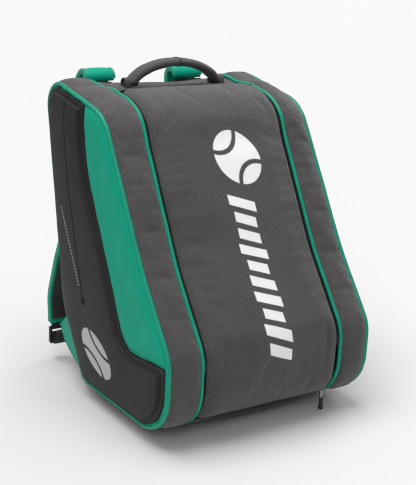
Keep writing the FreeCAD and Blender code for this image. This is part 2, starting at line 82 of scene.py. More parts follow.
# the backdrop is seen as white paper, brighter than the light it gives
paper = sky.nodes.new("ShaderNodeBackground")
paper.inputs["Color"].default_value = (1, 1, 1, 1)
paper.inputs["Strength"].default_value = 0.95
seen = sky.nodes.new("ShaderNodeLightPath")
either = sky.nodes.new("ShaderNodeMixShader")
for source, target in ((seen.outputs["Is Camera Ray"], either.inputs[0]), (glow.outputs[0], either.inputs[1]),
                       (paper.outputs[0], either.inputs[2]),
                       (either.outputs[0], sky.nodes["World Output"].inputs[0])):
    sky.links.new(source, target)

lights = {"over": {"at": (-0.3, 0.1, 2.2), "aim": (0, 0, 0.4), "size": 1.6, "watts": 40},
          "front": {"at": (-1.6, -1.9, 1.6), "aim": (0, 0, 0.3), "size": 1.0, "watts": 12},
          "rim": {"at": (2.0, 0.8, 1.4), "aim": (0, 0, 0.3), "size": 1.0, "watts": 10}}
for name, light in lights.items():
    bpy.ops.object.light_add(type="AREA", location=light["at"])
    lamp = bpy.context.object
    lamp.name = name + "Softbox"
    lamp.data.size = light["size"]
    lamp.data.energy = light["watts"]
    lamp.rotation_euler = (Vector(light["aim"]) - lamp.location).to_track_quat("-Z", "Y").to_euler()
print("stage")


# Where the bag stands: the foot of its front and the underside of its fabric base.
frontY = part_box("front_lower_panel")[0].y
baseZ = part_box("base_panel")[0].z
sides = {"left": -1, "right": 1}


# Small tools.

def deselectAll():
    if bpy.context.object and bpy.context.object.mode != "OBJECT":
        bpy.ops.object.mode_set(mode="OBJECT")
    bpy.ops.object.select_all(action="DESELECT")


def makeActive(piece):
    deselectAll()
    piece.select_set(True)
    bpy.context.view_layer.objects.active = piece


def applyModifier(piece, kind, **settings):
    makeActive(piece)
    modifier = piece.modifiers.new(kind.lower(), kind)
    for key, value in settings.items():
        setattr(modifier, key, value)
    bpy.ops.object.modifier_apply(modifier=modifier.name)


def thicken(piece, thickness, offset=-1):
    # one subdivision, then the sheet's real thickness
    applyModifier(piece, "SUBSURF", levels=1, render_levels=1)
    applyModifier(piece, "SOLIDIFY", thickness=thickness, offset=offset)


def newPiece(name, data):
    piece = bpy.data.objects.new(name, data)
    bpy.context.collection.objects.link(piece)
    return piece


def smoothRound(amount, edge):
    # rises like a quarter circle over the distance edge, then stays at 1
    t = min(max(amount / edge, 0), 1)
    return math.sqrt(1 - (1 - t) ** 2)


def roundedLine(corners, closed, step=0.0025):
    # corners are ((y, z), radius); gives evenly laid points of lines and arcs
    count = len(corners)
    marks = []
    for i, (point, radius) in enumerate(corners):
        here = Vector(point)
        if not radius or (not closed and i in (0, count - 1)):
            marks.append([here])
            continue
        back = (Vector(corners[i - 1][0]) - here).normalized()
        ahead = (Vector(corners[(i + 1) % count][0]) - here).normalized()
        half = back.angle(ahead) / 2
        centre = here + (back + ahead).normalized() * (radius / math.sin(half))
        first = here + back * (radius / math.tan(half)) - centre
        last = here + ahead * (radius / math.tan(half)) - centre
        turn = first.angle_signed(last)
        pieces = max(2, int(abs(turn) * radius / step))
        marks.append([centre + Matrix.Rotation(-turn * k / pieces, 2) @ first for k in range(pieces + 1)])
    points = []
    for i, mark in enumerate(marks):
        points += mark
        if closed or i < count - 1:
            following = marks[(i + 1) % count][0]
            gap = following - mark[-1]
            pieces = int(gap.length / step)
            points += [mark[-1] + gap * k / pieces for k in range(1, pieces)]
    return points


class Route:
    # a line in the side plane, asked by the distance along it
    def __init__(self, corners, closed=False, turnOut=1):
        self.closed = closed
        self.turnOut = turnOut
        self.points = roundedLine(corners, closed)
        ring = self.points + ([self.points[0]] if closed else [])
        self.marks = [0.0]
        for a, b in zip(ring, ring[1:]):
            self.marks.append(self.marks[-1] + (b - a).length)
        self.length = self.marks[-1]
        self.ring = ring

    def at(self, distance):
        if self.closed:
            distance %= self.length
        distance = min(max(distance, 0), self.length)
        low, high = 0, len(self.marks) - 1
        while high - low > 1:
            middle = (low + high) // 2
            if self.marks[middle] > distance:
                high = middle
            else:
                low = middle
        a, b = self.ring[low], self.ring[high]
        t = (distance - self.marks[low]) / max(self.marks[high] - self.marks[low], 1e-9)
        way = (b - a).normalized()
        return a.lerp(b, t), Vector((-way.y, way.x)) * self.turnOut

    def nearest(self, y, z):
        spot = Vector((y, z))
        return self.marks[min(range(len(self.points)), key=lambda i: (self.points[i] - spot).length)]

    def place(self, x, distance, lift):
        point, out = self.at(distance)
        point = point + out * lift
        return Vector((x, frontY + point.x, baseZ + point.y))


# The bag's side outline, clockwise from its front foot, metres from the foot of the front.
bag = {
    "corners": [((0, 0), 0.075), ((0, 0.128), 0.060), ((0.082, 0.234), 0.300), ((0.214, 0.452), 0.075),
                ((0.414, 0.488), 0.040), ((0.337, 0.110), 0.120), ((0.261, 0), 0.030)],
    "footRadius": 0.075,
    "lowerZipAngle": 42,
    "topZip": (0.284, 0.4646),
    "topBack": (0.404, 0.478),
    "baseBack": (0.256, 0.004),
    "foldHigh": 0.100,
    "seamX": 0.131,
    "sideX": 0.1835,
}
outline = Route(bag["corners"], closed=True)


def footMark(angle):
    turn = math.radians(angle)
    radius = bag["footRadius"]
    return outline.nearest(radius - radius * math.sin(turn), radius - radius * math.cos(turn))


lowerZipAt = footMark(bag["lowerZipAngle"])
topZipAt = outline.nearest(*bag["topZip"])
topBackAt = outline.nearest(*bag["topBack"])
baseBackAt = outline.nearest(*bag["baseBack"])
foldAt = outline.nearest(0, bag["foldHigh"])
waistAt = outline.nearest(0.082, 0.234)
browAt = outline.nearest(0.214, 0.452)

# The stuffed front swells between the outer seams: how far, along the outline, at the inner seam.
swellMarks = [(foldAt, 0.0005), (waistAt, 0.0020), (browAt - 0.070, 0.0060), (browAt - 0.010, 0.0115),
              (topZipAt, 0.0105), (topZipAt + 0.045, 0.0025), (topBackAt, 0.0), (outline.length, 0.0)]


def alongMarks(marks, s):
    if s <= marks[0][0]:
        return marks[0][1]
    for (s0, v0), (s1, v1) in zip(marks, marks[1:]):
        if s <= s1:
            t = (s - s0) / (s1 - s0)
            return v0 + (v1 - v0) * t * t * (3 - 2 * t)
    return marks[-1][1]


def middleShare(x):
    # 1 in the middle of the bag, 0 from the inner seams outwards
    return max(0, 1 - (x / bag["seamX"]) ** 2)


def swell(x, s):
    out = min(max((bag["sideX"] - abs(x)) / (bag["sideX"] - bag["seamX"]), 0), 1)
    return alongMarks(swellMarks, s) * (math.sin(out * math.pi / 2) + 0.30 * middleShare(x))


def gridPiece(name, columns, rows, width, length, place):
    # a flat grid laid out in its own metres, then every point carried to place(u, v)
    deselectAll()
    bpy.ops.mesh.primitive_grid_add(x_subdivisions=columns, y_subdivisions=rows, size=1)
    piece = bpy.context.object
    piece.name = name
    piece.data.name = name
    for corner in piece.data.uv_layers.active.data:
        corner.uv = (corner.uv[0] * width, corner.uv[1] * length)
    for vertex in piece.data.vertices:
        vertex.co = place(vertex.co.x + 0.5, vertex.co.y + 0.5)
    return piece


def sheetOnOutline(name, lowX, highX, start, end, cell, liftOf, shapeOf=swell):
    # fabric that follows the outline from start to end; liftOf takes the distances to its four
    # edges and gives its height; shapeOf(x, distance) adds the bag's own shape
    columns = max(4, round((highX - lowX) / cell))
    rows = round((end - start) / cell)

    def place(u, v):
        x = lowX + u * (highX - lowX)
        along = start + v * (end - start)
        lift = liftOf(x - lowX, highX - x, along - start, end - along) + shapeOf(x, along)
        return outline.place(x, along, lift)

    return gridPiece(name, columns, rows, highX - lowX, end - start, place)


def tubePiece(name, around, along, girth, length, place, closedLong=False):
    # a grid rolled into a tube: place(turn, v) with turn in radians
    piece = gridPiece(name, around, along, girth, length,
                      lambda u, v: place(u * math.tau, v))
    makeActive(piece)
    bpy.ops.object.mode_set(mode="EDIT")
    bpy.ops.mesh.select_all(action="SELECT")
    bpy.ops.mesh.remove_doubles(threshold=1e-6)
    if not closedLong:
        bpy.ops.mesh.fill_holes(sides=0)
    bpy.ops.mesh.select_all(action="SELECT")
    bpy.ops.mesh.normals_make_consistent(inside=False)
    bpy.ops.object.mode_set(mode="OBJECT")
    return piece


def joinPieces(name, pieces):
    deselectAll()
    for piece in pieces:
        piece.select_set(True)
    bpy.context.view_layer.objects.active = pieces[0]
    if len(pieces) > 1:
        bpy.ops.object.join()
    pieces[0].name = name
    pieces[0].data.name = name
    return pieces[0]


def finishPiece(piece, material, slot, body=None, replaced=(), angle=40):
    makeActive(piece)
    if material:
        piece.data.materials.clear()
        piece.data.materials.append(material)
    bpy.ops.object.shade_smooth_by_angle(angle=math.radians(angle))
    if replaced:
        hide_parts(*replaced)
    if body:
        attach(piece, body)
    return piece


def puff(piece, pressure, grow, cap, pinned, frames=20):
    # cloth simulation: pinned points stay, the rest swells and creases by no more than cap
    makeActive(piece)
    group = piece.vertex_groups.new(name="pinned")
    for vertex in piece.data.vertices:
        weight = pinned(vertex)
        if weight > 0:
            group.add([vertex.index], weight, "REPLACE")
    before = [vertex.co.copy() for vertex in piece.data.vertices]
    cloth = piece.modifiers.new("cloth", "CLOTH")
    settings = cloth.settings
    settings.quality = 6
    settings.mass = 0.25
    settings.air_damping = 3
    settings.tension_stiffness = 12
    settings.compression_stiffness = 12
    settings.shear_stiffness = 6
    settings.bending_stiffness = 0.35
    settings.vertex_group_mass = "pinned"
    settings.shrink_min = -grow
    settings.use_pressure = True
    settings.uniform_pressure_force = pressure
    settings.effector_weights.gravity = 0
    cloth.collision_settings.use_collision = False
    cloth.point_cache.frame_start = 1
    cloth.point_cache.frame_end = frames
    for step in range(1, frames + 1):
        bpy.context.scene.frame_set(step)
    bpy.ops.object.modifier_apply(modifier=cloth.name)
    bpy.context.scene.frame_set(1)
    for vertex, old in zip(piece.data.vertices, before):
        move = vertex.co - old
        if move.length > cap:
            vertex.co = old + move.normalized() * cap
    piece.vertex_groups.clear()


def edgePins(piece, rings=1):
    # the points within some rings of the open edge are held
    mesh = bmesh.new()
    mesh.from_mesh(piece.data)
    held = {v.index for v in mesh.verts if v.is_boundary}
    for _ in range(rings - 1):
        held |= {w.index for v in mesh.verts if v.index in held for e in v.link_edges for w in e.verts}
    mesh.free()
    return lambda vertex: 1.0 if vertex.index in held else 0.0


# Materials.

def linearColour(code):
    channels = [int(code[i:i + 2], 16) / 255 for i in (1, 3, 5)]
    return tuple(c / 12.92 if c <= 0.04045 else ((c + 0.055) / 1.055) ** 2.4 for c in channels) + (1,)


def scaled(code, share, more=0.0):
    return tuple(min(1, c * share + more) for c in linearColour(code)[:3]) + (1,)


def addNode(tree, kind, inputs=(), **settings):
    node = tree.nodes.new(kind)
    for key, value in settings.items():
        setattr(node, key, value)
    for key, value in dict(inputs).items():
        if isinstance(value, bpy.types.NodeSocket):
            tree.links.new(value, node.inputs[key])
        else:
            node.inputs[key].default_value = value
    return node


def sums(tree, operation, first, second=0.0, third=0.0):
    return addNode(tree, "ShaderNodeMath", {0: first, 1: second, 2: third}, operation=operation).outputs[0]


def newMaterial(name, roughness, **shaderInputs):
    material = bpy.data.materials.new(name)
    material.use_nodes = True
    tree = material.node_tree
    shader = tree.nodes["Principled BSDF"]
    shader.inputs["Roughness"].default_value = roughness
    for key, value in shaderInputs.items():
        shader.inputs[key.replace("_", " ")].default_value = value
    return material, tree, shader


def blendColours(tree, amount, first, second):
    mix = addNode(tree, "ShaderNodeMix", {0: amount, 6: first, 7: second}, data_type="RGBA")
    return mix.outputs[2]


def addBump(tree, shader, height, millimetres, strength=1.0):
    bump = addNode(tree, "ShaderNodeBump", {"Height": height, "Strength": strength,
                                            "Distance": millimetres / 1000})
    tree.links.new(bump.outputs[0], shader.inputs["Normal"])
    return bump


def threadAxes(tree, threadMm, turn=0.0):
    # the piece's own UV map is in metres, so this counts threads across and along
    coords = addNode(tree, "ShaderNodeTexCoord")
    perMetre = 1000 / threadMm
    mapping = addNode(tree, "ShaderNodeMapping", {"Vector": coords.outputs["UV"],
                                                  "Rotation": (0, 0, math.radians(turn)),
                                                  "Scale": (perMetre, perMetre, perMetre)})
    return addNode(tree, "ShaderNodeSeparateXYZ", {0: mapping.outputs[0]})


def unevenness(tree, scale, detail=2.0, roughness=0.5):
    # soft noise over the piece's own coordinates
    coords = addNode(tree, "ShaderNodeTexCoord")
    return addNode(tree, "ShaderNodeTexNoise", {"Vector": coords.outputs["Object"], "Scale": scale,
                                                "Detail": detail, "Roughness": roughness}).outputs[0]


def ballMark(tree, across, along, centre, radii, tilt):
    # a plain disc with the two curved seams of a ball, as a mask; lengths in metres
    dx = sums(tree, "SUBTRACT", across, centre[0])
    dy = sums(tree, "SUBTRACT", along, centre[1])
    c, s = math.cos(math.radians(tilt)), math.sin(math.radians(tilt))
    u = sums(tree, "MULTIPLY_ADD", dx, c / radii[0], sums(tree, "MULTIPLY", dy, s / radii[0]))
    v = sums(tree, "MULTIPLY_ADD", dy, c / radii[1], sums(tree, "MULTIPLY", dx, -s / radii[1]))
    reach = sums(tree, "SQRT", sums(tree, "MULTIPLY_ADD", u, u, sums(tree, "MULTIPLY", v, v)))
    mask = sums(tree, "LESS_THAN", reach, 1.0)
    for side in (-1, 1):
        far = sums(tree, "SUBTRACT", v, side * 1.30)
        swing = sums(tree, "SQRT", sums(tree, "MULTIPLY_ADD", u, u, sums(tree, "MULTIPLY", far, far)))
        seam = sums(tree, "LESS_THAN", sums(tree, "ABSOLUTE", sums(tree, "SUBTRACT", swing, 0.92)), 0.085)
        mask = sums(tree, "MULTIPLY", mask, sums(tree, "SUBTRACT", 1.0, seam))
    return mask


def crossWovenPolyester(name, light, dark, threadMm, mark=None):
    # two-colour canvas, woven from a light and a dark yarn: a fine chequer that shifts with
    # the yarns' unevenness; the real threads are 0.6 mm, and are drawn coarser so that they show
    material, tree, shader = newMaterial(name, 0.72, Sheen_Weight=0.25, Sheen_Roughness=0.45,
                                         Specular_IOR_Level=0.35)
    axes = threadAxes(tree, threadMm)
    waveX = sums(tree, "SINE", sums(tree, "MULTIPLY", axes.outputs["X"], math.pi))
    waveY = sums(tree, "SINE", sums(tree, "MULTIPLY", axes.outputs["Y"], math.pi))
    over = addNode(tree, "ShaderNodeMapRange", {"Value": sums(tree, "MULTIPLY", waveX, waveY),
                                                "From Min": -0.30, "From Max": 0.30})
    slub, cloud = unevenness(tree, 260.0, 3.0, 0.7), unevenness(tree, 14.0)
    amount = sums(tree, "MULTIPLY", over.outputs[0], sums(tree, "MULTIPLY_ADD", slub, 1.0, 0.35))
    colour = blendColours(tree, amount, linearColour(dark), linearColour(light))
    shade = sums(tree, "MULTIPLY_ADD", cloud, 0.5, 0.75)
    grey = addNode(tree, "ShaderNodeCombineXYZ", {0: shade, 1: shade, 2: shade}).outputs[0]
    final = addNode(tree, "ShaderNodeVectorMath", {0: colour, 1: grey}, operation="MULTIPLY").outputs[0]
    height = sums(tree, "MULTIPLY_ADD", sums(tree, "ABSOLUTE", waveX), 0.5,
                  sums(tree, "MULTIPLY_ADD", sums(tree, "ABSOLUTE", waveY), 0.5, over.outputs[0]))
    if mark:
        ink = mark(tree, threadAxes(tree, 1000.0))
        final = blendColours(tree, ink, final, linearColour("#f4f4f2"))
        height = sums(tree, "MULTIPLY", height, sums(tree, "MULTIPLY_ADD", ink, -0.75, 1.0))
    tree.links.new(final, shader.inputs["Base Color"])
    addBump(tree, shader, height, 0.35)
    return material


def plainFabric(name, code, threadMm, roughness=0.6, variation=0.18, sheen=0.2):
    # dense plain-weave polyester with a coated back: even colour, faint threads, soft sheen
    material, tree, shader = newMaterial(name, roughness, Sheen_Weight=sheen, Sheen_Roughness=0.4,
                                         Specular_IOR_Level=0.16)
    colour = blendColours(tree, unevenness(tree, 22.0, 4.0), scaled(code, 1 - variation),
                          scaled(code, 1 + variation))
    tree.links.new(colour, shader.inputs["Base Color"])
    coords = addNode(tree, "ShaderNodeTexCoord")
    grain = [addNode(tree, "ShaderNodeTexWave", {"Vector": coords.outputs["Object"], "Scale": 320 / threadMm,
                                                 "Distortion": 0.6, "Detail": 1.0}, bands_direction=way)
             for way in ("Y", "Z")]
    addBump(tree, shader, sums(tree, "ADD", grain[0].outputs[1], grain[1].outputs[1]), 0.12, 0.6)
    return material


def mouldedFoam(name, code, mark):
    # EVA sheet, heat-moulded under a knitted skin: matt, slightly grained, rubbed paler at random
    material, tree, shader = newMaterial(name, 0.58, Specular_IOR_Level=0.20, Sheen_Weight=0.03,
                                         Sheen_Roughness=0.5)
    rub = addNode(tree, "ShaderNodeMapRange", {"Value": unevenness(tree, 9.0, 5.0, 0.6),
                                               "From Min": 0.35, "From Max": 0.75})
    colour = blendColours(tree, rub.outputs[0], linearColour(code), scaled(code, 1.45, 0.004))
    coords = addNode(tree, "ShaderNodeTexCoord")
    place = addNode(tree, "ShaderNodeSeparateXYZ", {0: coords.outputs["Object"]})
    colour = blendColours(tree, mark(tree, place), colour, linearColour("#b9b6b6"))
    tree.links.new(colour, shader.inputs["Base Color"])
    addBump(tree, shader, unevenness(tree, 900.0), 0.15, 0.5)
    return material


def spacerMesh(name, code, holeMm):
    # warp-knitted spacer mesh: round open holes in a soft net over foam; the holes are painted darker towards
    # their centres, as painted shade down inside them
    material, tree, shader = newMaterial(name, 0.85, Sheen_Weight=0.3, Sheen_Roughness=0.5,
                                         Specular_IOR_Level=0.25)
    coords = addNode(tree, "ShaderNodeTexCoord")
    holes = addNode(tree, "ShaderNodeTexVoronoi", {"Vector": coords.outputs["UV"], "Scale": 1000 / holeMm,
                                                   "Randomness": 0.25})
    ring = addNode(tree, "ShaderNodeMapRange", {"Value": holes.outputs["Distance"],
                                                "From Min": 0.18, "From Max": 0.42}).outputs[0]
    # painted shade: the colour falls to a quarter of the mesh colour towards each hole's centre
    tree.links.new(blendColours(tree, ring, scaled(code, 0.25), linearColour(code)),
                   shader.inputs["Base Color"])
    addBump(tree, shader, ring, 0.9)
    return material


def ribbedWebbing(name, code, ribMm):
    # woven polypropylene tape: fine ribs across it and shallower ones along it; the rib crests are painted
    # lighter than the hollows between them, as painted highlight and shade
    material, tree, shader = newMaterial(name, 0.55, Specular_IOR_Level=0.4, Sheen_Weight=0.1)
    axes = threadAxes(tree, ribMm)
    across = sums(tree, "ABSOLUTE", sums(tree, "SINE", sums(tree, "MULTIPLY", axes.outputs["Y"], math.pi)))
    turn = sums(tree, "MULTIPLY", axes.outputs["X"], math.pi * 0.7)
    along = sums(tree, "ABSOLUTE", sums(tree, "SINE", turn))
    height = sums(tree, "MULTIPLY_ADD", along, 0.6, across)
    # painted highlight: the colour follows the rib height and is lifted towards twice as light on the crests
    colour = blendColours(tree, sums(tree, "MULTIPLY", height, 0.6), linearColour(code),
                          scaled(code, 2.0, 0.006))
    tree.links.new(colour, shader.inputs["Base Color"])
    addBump(tree, shader, height, 0.3)
    return material


def pipingCover(name, code):
    # bias-cut coated fabric stretched over a cord: smooth, a soft highlight, faint diagonal threads
    material, tree, shader = newMaterial(name, 0.42, Specular_IOR_Level=0.3, Sheen_Weight=0.03)
    wave = sums(tree, "SINE", sums(tree, "MULTIPLY", threadAxes(tree, 1.1, turn=45).outputs["X"], math.pi))
    colour = blendColours(tree, unevenness(tree, 60.0), scaled(code, 0.75), linearColour(code))
    tree.links.new(colour, shader.inputs["Base Color"])
    addBump(tree, shader, wave, 0.08, 0.6)
    return material


def mouldedPlastic(name, code, roughness):
    # injection-moulded plastic: dark, satin, with a fine spark-eroded grain
    material, tree, shader = newMaterial(name, roughness, IOR=1.48)
    grain = unevenness(tree, 1400.0)
    tree.links.new(blendColours(tree, grain, linearColour(code), scaled(code, 1.3)),
                   shader.inputs["Base Color"])
    addBump(tree, shader, grain, 0.05, 0.4)
    return material


def platedZinc(name, code):
    # die-cast zinc with nickel plate: bright, with rubbed, slightly duller patches
    material, tree, shader = newMaterial(name, 0.22, Metallic=1.0)
    rub = unevenness(tree, 420.0, 3.0)
    tree.links.new(blendColours(tree, rub, scaled(code, 0.7), linearColour(code)),
                   shader.inputs["Base Color"])
    rough = addNode(tree, "ShaderNodeMapRange", {"Value": rub, "To Min": 0.15, "To Max": 0.38})
    tree.links.new(rough.outputs[0], shader.inputs["Roughness"])
    return material


# Prints: plain shapes only.

frontPrint = {"discX": 0.0155, "discHigh": (0.167, 0.374), "discRadii": (0.039, 0.047),
              "barX": 0.0035, "barFrom": (0.062, 0.206), "barTo": (0.141, 0.332), "barWide": 0.047,
              "pitch": 0.0262, "fill": 0.62, "slant": 0.35}
sidePrint = {"discAt": (0.201, 0.074), "discRadii": (0.053, 0.026), "tilt": 25,
             "dashFrom": (0.330, 0.283), "dashTo": (0.263, 0.167), "dashPitch": 0.0052, "dashWide": 0.0026}
frontSheetHalf = 0.1232
frontSheetStart = lowerZipAt + 0.0032


def frontMark(tree, axes):
    x = sums(tree, "SUBTRACT", axes.outputs["X"], frontSheetHalf)
    s = sums(tree, "ADD", axes.outputs["Y"], frontSheetStart)
    cfg = frontPrint
    disc = ballMark(tree, x, s, (cfg["discX"], outline.nearest(*cfg["discHigh"])), cfg["discRadii"], 35)
    low, high = outline.nearest(*cfg["barFrom"]), outline.nearest(*cfg["barTo"])
    low -= 0.12
    across = sums(tree, "SUBTRACT", x, cfg["barX"])
    along = sums(tree, "MULTIPLY_ADD", across, cfg["slant"], sums(tree, "SUBTRACT", s, low))
    count = sums(tree, "DIVIDE", along, cfg["pitch"])
    stripe = sums(tree, "LESS_THAN", sums(tree, "FRACT", count), cfg["fill"])
    beat = sums(tree, "SINE", sums(tree, "MULTIPLY", sums(tree, "FLOOR", count), 2.3))
    half = sums(tree, "MULTIPLY_ADD", beat, 0.0035, cfg["barWide"] / 2 - 0.003)
    inside = sums(tree, "LESS_THAN", sums(tree, "ABSOLUTE", across), half)
    inRange = sums(tree, "MULTIPLY", sums(tree, "GREATER_THAN", count, 0.0),
                   sums(tree, "LESS_THAN", count, math.floor((high - low) / cfg["pitch"])))
    bars = sums(tree, "MULTIPLY", sums(tree, "MULTIPLY", stripe, inside), inRange)
    return sums(tree, "MAXIMUM", disc, bars)


def sideMark(tree, place):
    y = sums(tree, "SUBTRACT", place.outputs["Y"], frontY)
    z = sums(tree, "SUBTRACT", place.outputs["Z"], baseZ)
    cfg = sidePrint
    disc = ballMark(tree, y, z, cfg["discAt"], cfg["discRadii"], cfg["tilt"])
    start, end = Vector(cfg["dashFrom"]), Vector(cfg["dashTo"])
    way = (end - start).normalized()
    dy, dz = sums(tree, "SUBTRACT", y, start.x), sums(tree, "SUBTRACT", z, start.y)
    along = sums(tree, "MULTIPLY_ADD", dy, way.x, sums(tree, "MULTIPLY", dz, way.y))
    across = sums(tree, "MULTIPLY_ADD", dy, -way.y, sums(tree, "MULTIPLY", dz, way.x))
    dash = sums(tree, "LESS_THAN", sums(tree, "FRACT", sums(tree, "DIVIDE", along, cfg["dashPitch"])), 0.5)
    inRange = sums(tree, "MULTIPLY", sums(tree, "GREATER_THAN", along, 0.0),
                   sums(tree, "LESS_THAN", along, (end - start).length))
    narrow = sums(tree, "LESS_THAN", sums(tree, "ABSOLUTE", across), cfg["dashWide"] / 2)
    dashes = sums(tree, "MULTIPLY", sums(tree, "MULTIPLY", dash, narrow), inRange)
    return sums(tree, "MAXIMUM", disc, dashes)


paint = {
    "front": crossWovenPolyester("twoToneCanvasPrinted", "#686465", "#1d1b1c", 1.9, frontMark),
    "canvas": crossWovenPolyester("twoToneCanvas", "#686465", "#1d1b1c", 1.9),
    "green": plainFabric("coatedGreenPolyester", "#009c7e", 1.2, 0.62, 0.08, 0.03),
    "piping": pipingCover("greenPipingFabric", "#009a7b"),
    "shell": mouldedFoam("mouldedEvaFoam", "#211f20", sideMark),
    "black": plainFabric("blackPolyester", "#1c1c1e", 1.4, 0.7, 0.2),
    "lining": plainFabric("taffetaLining", "#232426", 1.6, 0.5, 0.15, 0.35),
    "mesh": spacerMesh("blackSpacerMesh", "#27272a", 3.4),
    "webbing": ribbedWebbing("blackWebbing", "#141415", 1.6),
    "grip": crossWovenPolyester("gripCanvas", "#605d5e", "#262425", 1.5),
    "acetal": mouldedPlastic("blackAcetal", "#101011", 0.4),
    "rubber": mouldedPlastic("softTouchRubber", "#151516", 0.55),
    "coil": mouldedPlastic("nylonCoil", "#0d0d0e", 0.42),
    "zinc": platedZinc("nickelPlatedZinc", "#c9c9c6"),
    "board": mouldedPlastic("polyethyleneBoard", "#2d2e31", 0.5),
    "thread": mouldedPlastic("greyThread", "#6f6d6e", 0.6),
    "greenThread": mouldedPlastic("greenThread", "#1fb592", 0.5),
}
print("materials made:", len(paint))


# Stitches and zip teeth: many small closed beads in one mesh.

def beadPiece(name, mesh, material, slot, body, angle):
    bmesh.ops.recalc_face_normals(mesh, faces=mesh.faces)
    data = bpy.data.meshes.new(name)
    mesh.to_mesh(data)
    mesh.free()
    return finishPiece(newPiece(name, data), material, slot, body, angle=angle)


def stitchRow(name, line, up, size, thread, slot, body):
    # beads of ten faces at an even pitch along the line; size is (pitch, length, radius)
    pitch, length, radius = size
    marks = [0.0]
    for a, b in zip(line, line[1:]):
        marks.append(marks[-1] + (b - a).length)
    mesh = bmesh.new()
    j = 0
    for k in range(int(marks[-1] / pitch)):
        target = (k + 0.5) * pitch
        while marks[j + 1] < target:
            j += 1
        centre = line[j].lerp(line[j + 1], (target - marks[j]) / (marks[j + 1] - marks[j]))
        along = (line[j + 1] - line[j]).normalized()
        side = along.cross(up).normalized()
        rings = []
        for shift, share in ((-0.5, 0.55), (0.0, 1.0), (0.5, 0.55)):
            spot = centre + along * (shift * length)
            rings.append([mesh.verts.new(spot + (side * c + up * s) * radius * share)
                          for c, s in ((1, 0), (0, 1), (-1, 0), (0, -1))])
        for low, high in zip(rings, rings[1:]):
            for i in range(4):
                mesh.faces.new((low[i], low[(i + 1) % 4], high[(i + 1) % 4], high[i]))
        mesh.faces.new(rings[0][::-1])
        mesh.faces.new(rings[-1])
    return beadPiece(name, mesh, paint[thread], slot, body, 60)


# Front panel and flap: one printed sheet, padded.

def crownOf(high, edge, tuck, ends=None):
    # padding that swells to high within edge of every seam and is drawn under by tuck at the seams
    def lift(left, right, low, top):
        near = min(left, right) if ends is None else min(left, right, low + ends, top + ends)
        pucker = noise.noise(Vector((low * 78, left * 14, 5.0))) * math.exp(-near / 0.013)
        return -tuck + (high + tuck) * smoothRound(near, edge) + 0.0022 * pucker * smoothRound(near, 0.006)
    return lift


def ruffle(piece, size, scale, seed, keepEdges=True):
    # soft, shallow unevenness along the normals; the points near an open edge stay
    held = edgePins(piece, 2) if keepEdges else (lambda vertex: 0.0)
    moves = []
    for vertex in piece.data.vertices:
        if not held(vertex):
            x, y, z = vertex.co
            wave = noise.noise(Vector((x * scale * 0.6, y * scale, z * scale * 1.4 + seed)))
            moves.append((vertex, vertex.normal.copy() * (size * wave)))
    for vertex, move in moves:
        vertex.co += move


front = {"end": topZipAt - 0.0050, "cell": 0.005, "crown": 0.0075, "edge": 0.022, "tuck": 0.0025,
         "pressure": 4.0, "grow": 0.012, "cap": 0.006, "wrinkle": (0.0026, 15, 3.0), "thick": 0.0035,
         "foldBelow": 0.010, "foldAbove": 0.040}
frontPanel = sheetOnOutline("frontPanel", -frontSheetHalf, frontSheetHalf, frontSheetStart,
                            front["end"], front["cell"],
                            crownOf(front["crown"], front["edge"], front["tuck"], ends=0.002))
puff(frontPanel, front["pressure"], front["grow"], front["cap"], edgePins(frontPanel, 2))
ruffle(frontPanel, *front["wrinkle"])
thicken(frontPanel, front["thick"])
finishPiece(frontPanel, paint["front"], "woven_grey", replaced=("flap_panel", "front_lower_panel"))
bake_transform(frontPanel)
print("front panel")


# Zips: tapes and coils.

zips = {"pitch": 0.0016, "toothHalf": 0.0013, "toothLong": 0.0008, "toothRise": (-0.0006, 0.0009),
        "depth": -0.0020, "tapeLift": -0.0030, "tapeThick": 0.0009, "cornerX": 0.1145, "cornerWide": 0.014}


def toothRow(name, spots, body):
    # spots are (centre, along, across, up); each tooth is a bead of eight corners
    mesh = bmesh.new()
    for centre, along, across, up in spots:
        ring = []
        for x, y in ((-1, -0.6), (-1, 0.6), (1, 0.6), (1, -0.6)):
            foot = centre + across * (x * zips["toothHalf"]) + along * (y * zips["toothLong"])
            ring.append([mesh.verts.new(foot + up * z) for z in zips["toothRise"]])
        for i in range(4):
            a, b = ring[i], ring[(i + 1) % 4]
            mesh.faces.new((a[0], b[0], b[1], a[1]))
        mesh.faces.new([r[1] for r in ring])
        mesh.faces.new([r[0] for r in ring][::-1])
    return beadPiece(name, mesh, paint["coil"], "zip_coil", body, 30)


def cornerRise(x):
    # the top stays level as far as the sliders run and rises to the seams in its last bit
    return min(max((abs(x) - zips["cornerX"]) / zips["cornerWide"], 0), 1)


def crossShape(x, s):
    # the top zip lies in a dip behind the flap's crest; the tape in front climbs the crest
    ahead = min(max((topZipAt - 0.0012 - s) / 0.0065, 0), 1)
    return swell(x, s) * max(cornerRise(x), ahead * 1.55)


